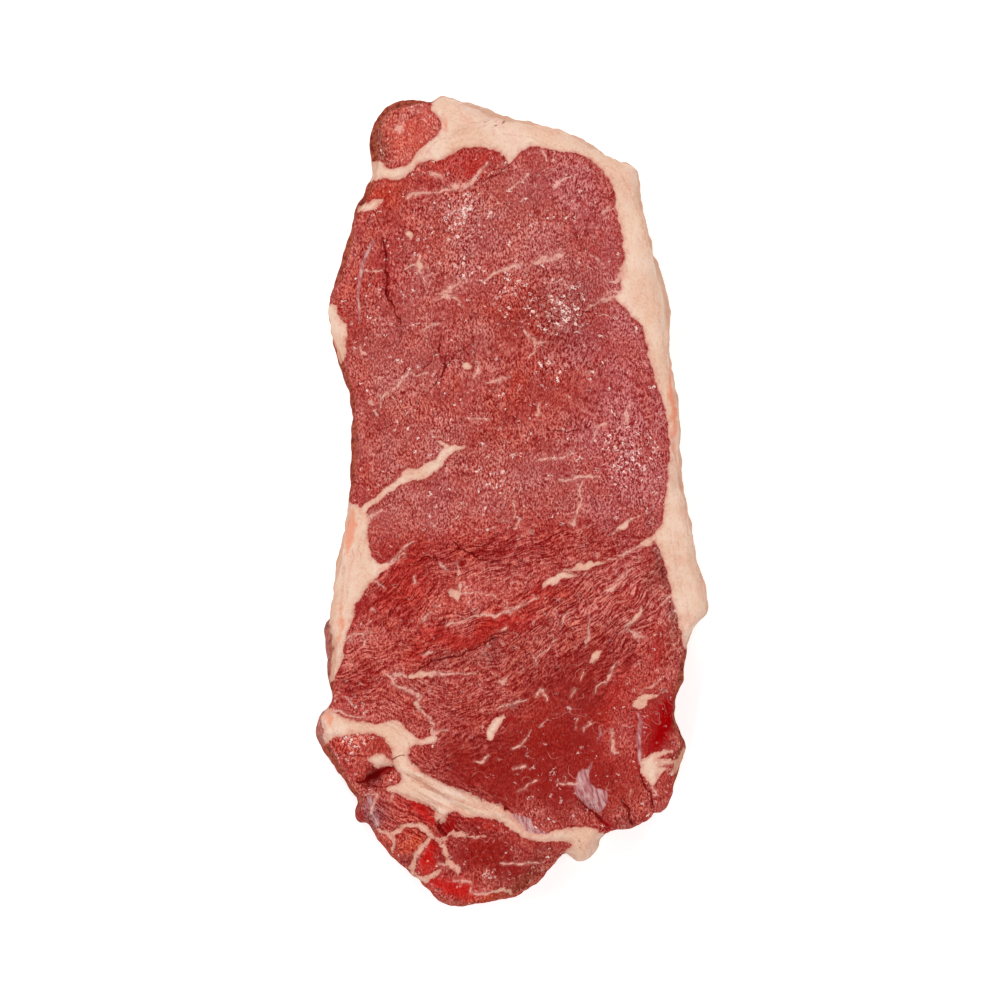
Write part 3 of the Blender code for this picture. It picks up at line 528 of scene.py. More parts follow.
# Lines of the same skin, seen edge on
MEMBRANE_LINES = [
    [(-38.2, 74.2, 0.26), (-39.8, 71, 0.39), (-41, 68, 0.52), (-41.8, 65, 0.45), (-42.5, 61, 0.39),
     (-42.6, 57, 0.33), (-42.4, 50, 0.2)],
    [(36.2, -59.5, 0.33), (37, -62, 0.45), (36.5, -65, 0.59), (36.3, -68, 0.59), (36.8, -71, 0.52),
     (36.6, -74, 0.33)],
    [(22.4, -31.5, 0.2), (22.5, -35, 0.26), (22.3, -38, 0.2)],
    [(23.2, -73.4, 0.26), (22.4, -75.8, 0.39)],
    [(25.4, -63.2, 0.2), (25.6, -65.6, 0.33), (24.8, -67.4, 0.2)],
    [(-39.6, -83, 0.52), (-38.8, -86, 0.78), (-37.6, -89, 0.65), (-37.2, -91, 0.39)],
]

# Tones of the flesh, as a screen shows them: red, green, blue from 0 to 255
TONES = {
    "rose": (183, 92, 87),
    "mauve": (180, 86, 88),
    "warm": (180, 74, 65),
    "brick": (177, 62, 52),
    "streaky": (194, 92, 84),
    "deep": (144, 35, 30),
    "garnet": (178, 46, 40),
    "crimson": (154, 4, 8),
    "scarlet": (198, 24, 20),
    "coral": (206, 82, 60),
    "wine": (148, 58, 54),
    # painted shade, for the deepest hollow in the upper face
    "hollow_shade": (92, 8, 8),
    "salmon": (202, 98, 86),
    "tawny": (126, 60, 42),
    "dusk": (142, 92, 84),
    "plum": (128, 70, 76),
}

# Where the lean takes another tone: (x, y, radius along, radius across, turn in degrees, tone, strength)
TONE_PLACES = [
    (28, 28, 34, 15, 98, "mauve", 0.8),
    (22, 84, 16, 10, 120, "mauve", 0.7),
    (-4, 70, 30, 16, 20, "rose", 0.5),
    (3, 23, 20, 9, 25, "warm", 0.8),
    (-8, 30, 18, 8, 20, "warm", 0.5),
    (-40, 70, 22, 5, 80, "brick", 0.45),
    (-44, 56, 14, 4, 90, "brick", 0.5),
    (-35, 86, 8, 4.5, 10, "brick", 0.75),
    (-13, 94.5, 15, 4, 14, "garnet", 0.75),
    (-34, 87.5, 7, 3, 10, "coral", 0.5),
    (-2, 58, 11, 5, 15, "brick", 0.6),
    (4, 41, 17, 5.5, 95, "brick", 0.65),
    (-26, 78, 9, 5, 110, "brick", 0.45),
    (-34, 66, 9, 4, 90, "garnet", 0.5),
    (-18, 42, 12, 3.5, 100, "garnet", 0.35),
    (-24, 16, 14, 5, 30, "rose", 0.4),
    (4, 12, 24, 10, 10, "rose", 0.35),
    (-39, 18, 18, 4, 95, "warm", 0.5),
    (-42, 2, 5, 3, 20, "crimson", 0.45),
    (-36, -14.5, 4, 3, 40, "crimson", 0.5),
    (-3, -11, 26, 6, 5, "garnet", 0.45),
    (-30, -24, 12, 6, 55, "garnet", 0.75),
    (-41, -31, 8, 3.5, 75, "crimson", 0.55),
    (-18, -28, 9, 4, 35, "salmon", 0.35),
    (-14, -38.5, 17, 4, 18, "garnet", 0.85),
    (6, -30, 16, 3, 28, "garnet", 0.7),
    (-39, -45, 9, 7, 60, "streaky", 0.6),
    (-46, -53, 8, 4, 70, "crimson", 0.55),
    (-15, -46, 14, 3, 18, "dusk", 0.25),
    (14, -58, 20, 13, -20, "deep", 0.85),
    (14, -74, 26, 14, -5, "deep", 0.95),
    (-9, -76, 14, 6, -30, "deep", 0.9),
    (24, -46, 10, 8, 60, "deep", 0.6),
    (5, -59, 8, 3.5, 20, "brick", 0.6),
    (0, -59.5, 2.4, 1.8, 0, "crimson", 0.8),
    (-12, -61, 9, 3, 20, "brick", 0.4),
    (32, -60, 15, 5.5, 95, "garnet", 0.6),
    (37, -48, 7, 4, 80, "brick", 0.5),
    (32.5, -66, 6, 3.5, 85, "streaky", 0.6),
    (33, -76, 7, 5, 90, "brick", 0.35),
    (42.2, -62, 10, 4.4, 72, "crimson", 1),
    (43.5, -42, 6, 3, 80, "crimson", 0.6),
    (44, -80, 5, 3.5, 70, "warm", 0.5),
    (45, -26, 16, 2.8, 104, "dusk", 0.75),
    (36, -31, 6, 3, 60, "rose", 0.35),
    (-43, -68, 8, 3.2, -5, "salmon", 0.55),
    (-47, -68.5, 3.5, 2.4, 0, "garnet", 0.6),
    (-36.5, -68, 3, 2.5, -20, "brick", 0.7),
    (-44, -74.5, 6, 2.6, -35, "garnet", 0.5),
    (-35, -76.4, 4, 2, 10, "crimson", 0.9),
    # Painted shade in the deepest hollow
    (-38.6, -78, 3.2, 1.6, 5, "hollow_shade", 0.95),
    (-42.2, -89, 2.4, 2.4, 0, "crimson", 0.8),
    (-38.5, -86.5, 5, 2.6, 95, "plum", 0.7),
    (-31, -86, 4, 3, 0, "garnet", 0.5),
    (-24.5, -88, 5, 2.6, -12, "scarlet", 0.9),
    (-18.6, -91.6, 2.6, 2.8, 0, "crimson", 1),
    (-8, -91, 8, 1.8, -8, "garnet", 0.8),
    (-28.5, -95.5, 4.2, 2.8, 15, "coral", 0.9),
    (-35, -97, 4, 2, -50, "coral", 0.7),
    (-30, -100.5, 3.4, 2.4, -45, "plum", 0.5),
    (-22.4, -100, 4.6, 3, 70, "scarlet", 1),
    (-17, -108.6, 7.5, 3.8, -15, "scarlet", 0.9),
    (-6, -100, 12, 6, -8, "deep", 1),
    (9, -97.5, 6, 2.2, -20, "brick", 0.5),
    (-5, -112.6, 7, 2, 5, "coral", 0.9),
    (-8, -105.5, 6, 2, 0, "warm", 0.4),
    (5, -106, 6, 2.4, 42, "tawny", 0.6),
    (-29, 103, 11, 9, 60, "salmon", 0.95),
    (-36.6, 102, 8, 2.6, 80, "tawny", 0.7),
    (-31, 110.8, 7, 1.6, 20, "plum", 0.15),
    (28.5, -90.5, 3, 2, -20, "crimson", 0.8),
    (14, 51, 12, 9, 60, "wine", 0.6),
    (-8, -52, 16, 7, 20, "streaky", 0.6),
    (-4, -101, 12, 5, -10, "deep", 0.5),
]

# Where the wet grain sparkles: a wetter coat, busier grain and more painted highlights: (x, y, radius,
# strength)
SPARKLES = [
    (-14, 80.5, 9, 0.8), (-14, 67, 6, 0.6), (14, 54, 8, 1), (3, 61, 8, 0.8),
    (12, 38, 5, 0.6), (33, 14, 9, 0.8), (-5, 7, 7, 0.6), (-28, 24, 5, 0.4),
    (-18, 22, 5, 0.4), (-43, -55, 5, 0.8), (-8, -43, 5, 0.9), (-3, -39, 4, 0.7),
    (-44, -67, 4, 1), (4, -44.5, 4, 0.5), (-14, -54, 10, 0.5), (22, -14, 5, 0.5),
    (25, -23, 6, 0.6), (12, -32, 7, 0.6), (27, -66, 3, 0.3), (49, -70, 2, 0.5),
    (-3.5, -104, 3.5, 0.6), (3, -75, 2.5, 0.6), (-7, -65, 5, 0.4),
]

# Where the fibres run in streaks: (x, y, radius along, radius across, turn in degrees, which direction)
STREAKS = [
    (14, -33, 24, 13, 38, "steep"),
    (6, -48, 17, 9, 30, "steep"),
    (30, -36, 22, 10, 60, "steep"),
    (-10, -53, 18, 10, 20, "low"),
    (-17, -37, 18, 6, 20, "low"),
    (-10, -70, 10, 6, 20, "low"),
    (4, -15, 30, 7, 5, "low"),
    (-30, -25, 12, 9, 55, "steep"),
    (-7, -84, 9, 3.5, -28, "down"),
    (-17, -79, 12, 5, -28, "down"),
    (-24, -90, 14, 7, -10, "down"),
    (-42, -48, 9, 9, 0, "low"),
    (-26, -56, 10, 7, 0, "down"),
]
STREAK_TURNS = {"steep": 40, "low": 16, "down": -27}

# Colours of the finish, 0 to 255. Some carry painted light: a painted highlight on glints and on the fat's
# lumps and strand tops, painted shade in cracks, furrows, folds, the fat's pits and strand dips
COLORS = {
    "gap_and_furrow_shade": (124, 18, 20), "beside_fat": (150, 28, 26), "thread": (224, 158, 142),
    "glint": (255, 218, 208), "vein": (240, 180, 164), "crack": (110, 2, 4),
    "silverskin": (168, 90, 98), "silverskin_strand": (228, 188, 184),
    "wall_brown_dip": (108, 36, 26), "wall_brown": (162, 76, 56), "wall_pale_sheet": (202, 128, 100),
    "fat_cream": (232, 199, 178), "fat_yellow": (224, 180, 153), "fat_pink": (222, 156, 138),
    "fat_line": (212, 150, 122), "fat_strand_shade": (204, 132, 110), "fat_strand_highlight": (244, 216, 200),
    "fat_lump_highlight": (236, 206, 188), "fat_pit_shade": (198, 132, 106), "fat_edge": (218, 146, 128),
    "fat_wall_dip": (168, 104, 70), "fat_wall": (214, 160, 128),
    "fat_fold_shade": (186, 96, 74), "blush": (228, 122, 84),
}


def smooth_path(points, step, closed=False):
    """A Catmull-Rom curve through the points, sampled about every `step`; a third column rides along."""
    points = np.asarray(points, dtype=float)
    if closed:
        before, after = points[-1:], points[:2]
    else:
        before, after = 2 * points[:1] - points[1:2], 2 * points[-1:] - points[-2:-1]
    padded = np.vstack([before, points, after])
    samples = []
    for index in range(len(padded) - 3):
        p0, p1, p2, p3 = padded[index:index + 4]
        count = max(1, round(float(np.linalg.norm(p2[:2] - p1[:2])) / step))
        t = np.arange(count)[:, None] / count
        curve = 2 * p1 + (p2 - p0) * t + (2 * p0 - 5 * p1 + 4 * p2 - p3) * t ** 2
        samples.append((curve + (3 * p1 - p0 - 3 * p2 + p3) * t ** 3) / 2)
    if not closed:
        samples.append(points[-1:])
    return np.vstack(samples)


class Nearest:
    """What the nearest stretch of a path is like, for each of many points."""

    def __init__(self, count, reach):
        self.distance = np.full(count, float(reach))
        self.sideways = np.full(count, float(reach))
        self.width = np.zeros(count)
        self.tangent = np.zeros((count, 2))

    def add(self, xy, path, by_width=False):
        """Take in a path of rows (x, y) or (x, y, half width)."""
        reach = self.distance.max() if len(xy) else 0.0
        for first in range(0, len(path) - 1, CHUNK):
            stretch = path[first:first + CHUNK + 1]
            low, high = stretch[:, :2].min(axis=0) - reach, stretch[:, :2].max(axis=0) + reach
            near = np.flatnonzero(np.all((xy > low) & (xy < high), axis=1))
            if len(near):
                self.add_stretch(xy[near], near, stretch, by_width)

    def add_stretch(self, xy, near, stretch, by_width):
        for start, end in zip(stretch[:-1], stretch[1:]):
            along = end[:2] - start[:2]
            length = float(np.hypot(*along))
            if length < SHORTEST_MM:
                continue
            offset = xy - start[:2]
            t = np.clip(offset @ along / length ** 2, 0.0, 1.0)
            distance = np.linalg.norm(offset - t[:, None] * along, axis=1)
            width = start[2] + (end[2] - start[2]) * t if len(start) > 2 else np.zeros(len(t))
            if by_width:
                closer = distance - width < self.distance[near] - self.width[near]
            else:
                closer = distance < self.distance[near]
            chosen = near[closer]
            self.distance[chosen] = distance[closer]
            self.width[chosen] = width[closer]
            self.sideways[chosen] = (offset[closer, 0] * along[1] - offset[closer, 1] * along[0]) / length
            self.tangent[chosen] = along / length


def inside(xy, loop):
    """Which points lie inside the closed loop."""
    result = np.zeros(len(xy), dtype=bool)
    near = np.flatnonzero(np.all((xy >= loop.min(axis=0)) & (xy <= loop.max(axis=0)), axis=1))
    x, y = xy[near, 0], xy[near, 1]
    odd = np.zeros(len(near), dtype=bool)
    for (x0, y0), (x1, y1) in zip(loop, np.roll(loop, -1, axis=0)):
        if y0 != y1:
            crosses = (y0 > y) != (y1 > y)
            odd ^= crosses & (x < x0 + (y - y0) * (x1 - x0) / (y1 - y0))
    result[near] = odd
    return result


def depth_in(xy, loop):
    """Distance in mm to the loop, positive inside it and negative outside."""
    nearest = Nearest(len(xy), FIELD_REACH_MM)
    nearest.add(xy, np.vstack([loop, loop[:1]]))
    return np.where(inside(xy, loop), nearest.distance, -nearest.distance)


def swells(points, height, length, seed):
    """Soft uneven swells: a few waves of about one length, each in its own direction."""
    draw = np.random.default_rng(seed)
    total = np.zeros(len(points))
    for _ in range(SWELL_WAVES):
        direction = draw.normal(size=points.shape[1])
        direction /= np.linalg.norm(direction)
        wave = 2 * math.pi / (length * draw.uniform(0.75, 1.3))
        total += np.sin(wave * (points @ direction) + draw.uniform(0.0, 2 * math.pi))
    return total * height / math.sqrt(SWELL_WAVES / 2)


def uneven_shift(points, kinds, seed):
    """A shift in x and in y, each made of its own swells of the (height, length) kinds."""
    columns = []
    for axis in range(2):
        first = seed + axis * len(kinds)
        columns.append(sum(swells(points, *kind, first + index) for index, kind in enumerate(kinds)))
    return np.column_stack(columns)


def smooth_step(value, low, high):
    """0 below `low`, 1 above `high`, and a soft change between."""
    t = np.clip((value - low) / (high - low), 0.0, 1.0)
    return t * t * (3.0 - 2.0 * t)


def blob(xy, x, y, radius_along, radius_across, turn):
    """A soft ellipse: 1 at its middle, fading to 0."""
    angle = math.radians(turn)
    dx, dy = xy[:, 0] - x, xy[:, 1] - y
    along = (dx * math.cos(angle) + dy * math.sin(angle)) / radius_along
    across = (dy * math.cos(angle) - dx * math.sin(angle)) / radius_across
    return np.exp(-(along ** 2 + across ** 2))


def linear_color(tone):
    """A screen colour, 0 to 255, as the linear colour that a shader works in."""
    value = np.asarray(tone, dtype=float) / 255.0
    return np.where(value <= 0.04045, value / 12.92, ((value + 0.055) / 1.055) ** 2.4)


def placement():
    """The scale and shift that give the slice its length and centre it on the origin."""
    loop = smooth_path(OUTLINE, OUTLINE_STEP_MM, closed=True)
    low, high = loop.min(axis=0), loop.max(axis=0)
    return LENGTH / MM / (high[1] - low[1]), (low + high) / 2


def layer_loops():
    """The closed loop, in mm, round each layer's place in the slice."""
    def curve(points):
        return smooth_path(points, LAYER_STEP_MM)

    return {
        "fat_cap": np.vstack([curve(FAT_CAP_EDGE), FAT_CAP_OUTSIDE]),
        "cap_muscle": np.vstack([curve(CAP_MUSCLE_EDGE), CAP_MUSCLE_OUTSIDE]),
        "edge_fat": np.vstack([curve(EDGE_FAT_EDGE), EDGE_FAT_OUTSIDE]),
        "seam_fat": np.vstack([curve(SEAM_FAT_EDGE), curve(SEAM_FAT_RETURN)]),
        "tail_lean": np.vstack([curve(TAIL_EDGE), TAIL_OUTSIDE]),
    }


def prism(name, loop_mm, bottom, top, rounding=0.0):
    """A closed mesh: the loop as a filled flat curve, given height and rounded rims."""
    scale, centre = placement()
    flat = (np.asarray(loop_mm) - centre) * scale * MM
    curve = bpy.data.curves.new(name, "CURVE")
    curve.dimensions = "2D"
    curve.fill_mode = "BOTH"
    curve.extrude = (top - bottom) / 2 - rounding
    curve.bevel_depth = rounding
    curve.bevel_resolution = 3
    curve.offset = -rounding
    spline = curve.splines.new("POLY")
    spline.points.add(len(flat) - 1)
    spline.points.foreach_set("co", np.column_stack([flat, np.zeros(len(flat)), np.ones(len(flat))]).ravel())
    spline.use_cyclic_u = True
    guide = bpy.data.objects.new(name + "_curve", curve)
    guide.location.z = (top + bottom) / 2
    bpy.context.scene.collection.objects.link(guide)
    bpy.context.view_layer.update()
    evaluated = guide.evaluated_get(bpy.context.evaluated_depsgraph_get())
    mesh = bpy.data.meshes.new_from_object(evaluated)
    mesh.transform(guide.matrix_world)
    bpy.data.objects.remove(guide)
    weld = bmesh.new()
    weld.from_mesh(mesh)
    bmesh.ops.remove_doubles(weld, verts=weld.verts, dist=WELD)
    bmesh.ops.recalc_face_normals(weld, faces=weld.faces)
    weld.to_mesh(mesh)
    weld.free()
    item = bpy.data.objects.new(name, mesh)
    bpy.context.scene.collection.objects.link(item)
    return item


def applied(item):
    """Replace the object's mesh with its modified one, and clear its modifiers."""
    bpy.context.view_layer.update()
    evaluated = item.evaluated_get(bpy.context.evaluated_depsgraph_get())
    mesh = bpy.data.meshes.new_from_object(evaluated)
    item.modifiers.clear()
    item.data = mesh
    return mesh


def read_points(mesh):
    """The mesh's points in metres, and in the steak's own millimetres."""
    scale, centre = placement()
    points = np.empty(len(mesh.vertices) * 3)
    mesh.vertices.foreach_get("co", points)
    points = points.reshape(-1, 3)
    xyz = points / MM / scale
    xyz[:, :2] += centre
    return points, xyz


def near_rim(xy, reach):
    """Distance from the slice's edge, and the direction inward from it."""
    outline = smooth_path(OUTLINE, OUTLINE_STEP_MM, closed=True)
    nearest = Nearest(len(xy), reach)
    nearest.add(xy, np.vstack([outline, outline[:1]]))
    return nearest.distance, np.column_stack([nearest.tangent[:, 1], -nearest.tangent[:, 0]])


def fat_depth(xy):
    """Distance in mm into the fat, positive in fat and negative in lean."""
    loops = layer_loops()
    depth = np.minimum(depth_in(xy, loops["fat_cap"]), -depth_in(xy, loops["cap_muscle"]))
    depth = np.maximum(depth, depth_in(xy, loops["edge_fat"]))
    return np.maximum(depth, depth_in(xy, loops["seam_fat"]))


def stroke_depth(xy, strokes, reach):
    """Distance in mm into the nearest of the strokes, positive inside it."""
    nearest = Nearest(len(xy), reach)
    for stroke in strokes:
        nearest.add(xy, smooth_path(stroke, STROKE_STEP_MM), by_width=True)
    return nearest.width - nearest.distance


def face_relief(xy, from_rim):
    """Height in mm that the upper face gains or loses at each point."""
    height = np.zeros(len(xy))
    for index, kind in enumerate(FACE_SWELLS):
        height += swells(xy, *kind, SEEDS["face"] + index)
    sag = np.clip((TAIL_SAG_STARTS_MM - xy[:, 1]) / (TAIL_SAG_STARTS_MM + LENGTH / MM / 2), 0.0, 1.0)
    height -= TAIL_SAG_MM * sag ** TAIL_SAG_CURVE
    height -= RIM_DROP_MM * np.clip(1.0 - from_rim / RIM_DROP_WIDTH_MM, 0.0, 1.0) ** 2
    for points, half_width, rise in RIDGES:
        nearest = Nearest(len(xy), 3.0 * half_width)
        nearest.add(xy, smooth_path(points, LAYER_STEP_MM))
        height += rise * np.exp(-(nearest.distance / half_width) ** 2)
    for x, y, radius, rise in MOUNDS:
        height += rise * blob(xy, x, y, radius, radius, 0.0)
    height += FAT_STEP_MM * smooth_step(fat_depth(xy), -FAT_STEP_WIDTH_MM / 2, FAT_STEP_WIDTH_MM)
    for strokes, dip, reach, low, high in (
        (CRACKS, CRACK_DEPTH_MM, CREASE_REACH_MM, -0.7, 0.3),
        (FAT_FOLDS, FOLD_DEPTH_MM, CREASE_REACH_MM, -0.7, 0.2),
        (VEINS, VEIN_DIP_MM, LINE_REACH_MM, -0.5, 0.3),
    ):
        height -= dip * smooth_step(stroke_depth(xy, strokes, reach), low, high)
    return height


def side_relief(xyz, from_rim):
    """How far, in mm, the side stands in from the slice's edge at each point."""
    rise = np.clip(xyz[:, 2] * MM / THICKNESS, 0.0, 1.0)
    inset = SIDE_BULGE_MM * (2.0 * rise - 1.0) ** 2
    for index, kind in enumerate(SIDE_SWELLS):
        inset += swells(xyz, *kind, SEEDS["side"] + index)
    for x, y, radius, amount in WALL_LEANS:
        inset += amount * blob(xyz, x, y, radius, radius, 0.0) * rise ** WALL_LEAN_CURVE
    return inset * np.clip(1.0 - from_rim / SIDE_REACH_MM, 0.0, 1.0)


def make_slice():
    """The whole slice as one fine closed mesh, before it is parted into its layers."""
    slab = prism("slice", smooth_path(OUTLINE, OUTLINE_STEP_MM, closed=True), 0.0, THICKNESS, RIM_ROUNDING)
    remesh = slab.modifiers.new("even_faces", "REMESH")
    remesh.mode = "VOXEL"
    remesh.voxel_size = VOXEL
    mesh = applied(slab)
    points, xyz = read_points(mesh)
    from_rim, inward = near_rim(xyz[:, :2], max(SIDE_REACH_MM, RIM_DROP_WIDTH_MM))
    scale = placement()[0]
    points[:, 2] *= 1.0 + face_relief(xyz[:, :2], from_rim) * MM / THICKNESS
    points[:, :2] += inward * side_relief(xyz, from_rim)[:, None] * MM * scale
    points[:, 2][points[:, 2] < FLAT_BASE] = 0.0
    mesh.vertices.foreach_set("co", points.ravel())
    mesh.update()
    return slab


def part_slice(slab, name, keep, drop):
    """One layer of the slice: inside its own loops and outside its neighbours' loops."""
    item = bpy.data.objects.new(name, slab.data.copy())
    bpy.context.scene.collection.objects.link(item)
    cutters = []
    for operation, loops in (("INTERSECT", keep), ("DIFFERENCE", drop)):
        for loop in loops:
            cutter = prism("cutter", loop, -THICKNESS, 2 * THICKNESS)
            cutters.append(cutter)
            cut = item.modifiers.new("cut", "BOOLEAN")
            cut.operation = operation
            cut.solver = "MANIFOLD"
            cut.object = cutter
    applied(item)
    for cutter in cutters:
        bpy.data.objects.remove(cutter)
    return item


def store(mesh, name, kind, values):
    """Keep one value for each point of the mesh, for the shaders and the relief."""
    attribute = mesh.attributes.new(name, kind, "POINT")
    key = {"FLOAT": "value", "FLOAT_VECTOR": "vector", "FLOAT_COLOR": "color"}[kind]
    attribute.data.foreach_set(key, np.ascontiguousarray(values, dtype=np.float32).ravel())


def lean_tone(xy):
    """The lean's colour at each point, as soft patches over a base that warms towards the tail."""
    place = xy + uneven_shift(xy, TONE_SWELLS, SEEDS["tone"])
    lower = smooth_step(-place[:, 1], *LOWER_LEAN_MM)[:, None]
    color = linear_color(TONES["rose"]) * (1.0 - lower) + linear_color(TONES["streaky"]) * lower
    for x, y, along, across, turn, tone, strength in TONE_PLACES:
        spot = np.minimum(1.0, TONE_FULLNESS * blob(place, x, y, along, across, turn))
        weight = (strength * spot)[:, None]
        color = color * (1.0 - weight) + linear_color(TONES[tone]) * weight
    return color


def paint(mesh):
    """Store on the mesh everything that its relief and its finish depend on."""
    _, xyz = read_points(mesh)
    rise = np.clip(xyz[:, 2] * MM / THICKNESS, 0.0, 1.0)
    xy = xyz[:, :2]
    from_rim, inward = near_rim(xy, RIM_REACH_MM)

    # Drawn lines tremble a little, and wander with depth, so the lower face has its own
    tremble = uneven_shift(xyz, TREMBLES, SEEDS["tremble"])
    drift = DEPTH_DRIFT_MM * smooth_step(1.0 - rise, 0.15, 1.0)[:, None]
    inner = xy + tremble + drift * (uneven_shift(xy, DRIFT_SWELLS, SEEDS["drift"]) - DRIFT_LEAN)

    fat = fat_depth(xy + tremble * FAT_TREMBLE)
    fat = np.maximum(fat, stroke_depth(inner, FAT_PATCHES, FIELD_REACH_MM) - PATCH_TRIM_MM)
    fat = np.minimum(fat, -stroke_depth(inner, LEAN_BITES, FIELD_REACH_MM))
    store(mesh, "fat_depth", "FLOAT", np.clip(fat, -FIELD_REACH_MM, FIELD_REACH_MM))

    # Cracks, folds and blushes stay near the upper face
    deep = FADE_MM * smooth_step(0.8 - rise, 0.0, 0.3)
    for name, strokes, fade in (("vein", VEINS, 0.0), ("crack", CRACKS, deep), ("fold", FAT_FOLDS, deep)):
        line = Nearest(len(xy), LINE_REACH_MM)
        for stroke in strokes:
            line.add(inner, smooth_path(stroke, STROKE_STEP_MM), by_width=True)
        store(mesh, name, "FLOAT_VECTOR", np.column_stack([line.sideways, line.distance, line.width - fade]))
    store(mesh, "blush", "FLOAT", stroke_depth(inner, BLUSHES, CREASE_REACH_MM) - deep)

    skin = stroke_depth(inner - SKIN_STEADINESS * tremble, MEMBRANE_LINES, FIELD_REACH_MM)
    for loop in MEMBRANES:
        skin = np.maximum(skin, depth_in(inner, smooth_path(loop, STROKE_STEP_MM, closed=True)))
    store(mesh, "silverskin", "FLOAT", skin)

    # The brown wall fades round the tail, and ends at the lower face
    side = smooth_step(WALL_TOP - rise, 0.0, 0.10) * smooth_step(WALL_WIDTH_MM - from_rim, 0.0, 1.5)
    band = smooth_step(stroke_depth(xy + tremble, WALL_BANDS, CREASE_REACH_MM), *BAND_EDGE_MM)
    side = np.maximum(side, band) * (1.0 - TAIL_WALL_FADE * smooth_step(-xy[:, 1], *TAIL_WALL_MM))
    store(mesh, "side", "FLOAT", side * smooth_step(rise, 0.0, 0.04))
    store(mesh, "rim", "FLOAT", from_rim)

    streaks = np.zeros((len(xy), len(STREAK_TURNS)))
    for x, y, along, across, turn, way in STREAKS:
        column = list(STREAK_TURNS).index(way)
        streaks[:, column] = np.maximum(streaks[:, column], blob(xy, x, y, along, across, turn))
    streaks = np.minimum(1.0, STREAK_FULLNESS * streaks)
    streaks /= np.maximum(1.0, streaks.sum(axis=1, keepdims=True))
    for way, column in zip(STREAK_TURNS, streaks.T):
        store(mesh, "streak_" + way, "FLOAT", column)

    sparkle = np.zeros(len(xy))
    for x, y, radius, strength in SPARKLES:
        sparkle = np.maximum(sparkle, strength * blob(xy, x, y, radius, radius, 0.0))
    store(mesh, "sparkle", "FLOAT", sparkle)

    color = lean_tone(inner)
    store(mesh, "tone", "FLOAT_COLOR", np.column_stack([color, np.ones(len(xy))]))

    # The fine relief stands out upwards on the upper face and sideways on the wall
    up = smooth_step(rise, 0.80, 0.96)[:, None]
    across = np.column_stack([-inward, np.zeros(len(xy))]) * smooth_step(4.0 - from_rim, 0.0, 3.0)[:, None]
    outward = across * (1.0 - up) * smooth_step(rise, 0.0, 0.12)[:, None] + np.array([0.0, 0.0, 1.0]) * up
    store(mesh, "outward", "FLOAT_VECTOR", outward)


class Tree:
    """A short way to write a node tree: add nodes with their values and links together."""

    def __init__(self, tree):
        self.tree = tree

    def feed(self, socket, value):
        """Link the value to the socket, or set it there."""
        if hasattr(value, "is_output"):
            self.tree.links.new(value, socket)
        else:
            socket.default_value = value

    def add(self, kind, output=0, settings=None, **inputs):
        """A new node and one of its outputs; i0 and i1 are its inputs by number."""
        node = self.tree.nodes.new(kind)
        for key, value in (settings or {}).items():
            setattr(node, key, value)
        for key, value in inputs.items():
            self.feed(node.inputs[int(key[1:]) if key in ("i0", "i1") else key], value)
        return node.outputs[output]

    def math(self, operation, first, second=None, clamp=False):
        values = {"i0": first}
        if second is not None:
            values["i1"] = second
        return self.add("ShaderNodeMath", 0, {"operation": operation, "use_clamp": clamp}, **values)

    def times(self, first, second):
        return self.math("MULTIPLY", first, second)

    def per(self, size):
        return self.math("DIVIDE", 1.0, size)

    def spread(self, noise):
        """A noise value as its difference from the middle."""
        return self.math("SUBTRACT", noise, 0.5)

    def sum(self, terms):
        """The sum of (value, weight) pairs."""
        total = None
        for value, weight in terms:
            part = value if weight == 1.0 else self.times(value, weight)
            total = part if total is None else self.math("ADD", total, part)
        return total

    def vector(self, operation, first, second):
        return self.add("ShaderNodeVectorMath", 0, {"operation": operation}, i0=first, i1=second)

    def stretched(self, vector, *factors):
        return self.vector("MULTIPLY", vector, factors)

    def shifted(self, vector, *steps):
        return self.vector("ADD", vector, steps)

    def turned(self, vector, degrees):
        """The vector turned about the upright axis."""
        settings = {"rotation_type": "Z_AXIS"}
        return self.add("ShaderNodeVectorRotate", 0, settings, Vector=vector, Angle=math.radians(degrees))

    def ramp(self, value, low, high, out_low=0.0, out_high=1.0, soft=True):
        settings = {"interpolation_type": "SMOOTHSTEP" if soft else "LINEAR"}
        inputs = {"Value": value, "From Min": low, "From Max": high, "To Min": out_low, "To Max": out_high}
        return self.add("ShaderNodeMapRange", 0, settings, **inputs)

    def noise(self, vector, scale, detail=2.0, roughness=0.5, output=0):
        inputs = {"Vector": vector, "Scale": scale, "Detail": detail, "Roughness": roughness}
        return self.add("ShaderNodeTexNoise", output, None, **inputs)

    def crease(self, vector, scale, detail, roughness=0.5):
        """How far a noise is from its middle: 0 along thin winding lines."""
        return self.math("ABSOLUTE", self.spread(self.noise(vector, scale, detail, roughness)))

    def walls(self, vector, scale):
        """Distance to the nearest wall between cells."""
        settings = {"feature": "DISTANCE_TO_EDGE"}
        return self.add("ShaderNodeTexVoronoi", "Distance", settings, Vector=vector, Scale=scale)

    def mix(self, factor, first, second, blend="MIX"):
        node = self.tree.nodes.new("ShaderNodeMix")
        node.data_type = "RGBA"
        node.blend_type = blend
        self.feed(node.inputs[0], factor)
        for socket, color in ((node.inputs[6], first), (node.inputs[7], second)):
            self.feed(socket, color if hasattr(color, "is_output") else (*color, 1.0))
        return node.outputs[2]

    def cover(self, under, name, mask, strength):
        """Lay a named colour, or a made one, over another where the mask is."""
        over = linear(name) if isinstance(name, str) else name
        return self.mix(self.times(mask, strength), under, over)

    def attribute(self, name, output="Fac"):
        node = self.tree.nodes.new("ShaderNodeAttribute")
        node.attribute_name = name
        return node.outputs[output]

    def parts(self, vector):
        node = self.tree.nodes.new("ShaderNodeSeparateXYZ")
        self.tree.links.new(vector, node.inputs[0])
        return node.outputs

    def place_mm(self):
        """The point's place in millimetres."""
        node = self.tree.nodes.new("ShaderNodeTexCoord")
        return self.vector("MULTIPLY", node.outputs["Object"], (1.0 / MM,) * 3)


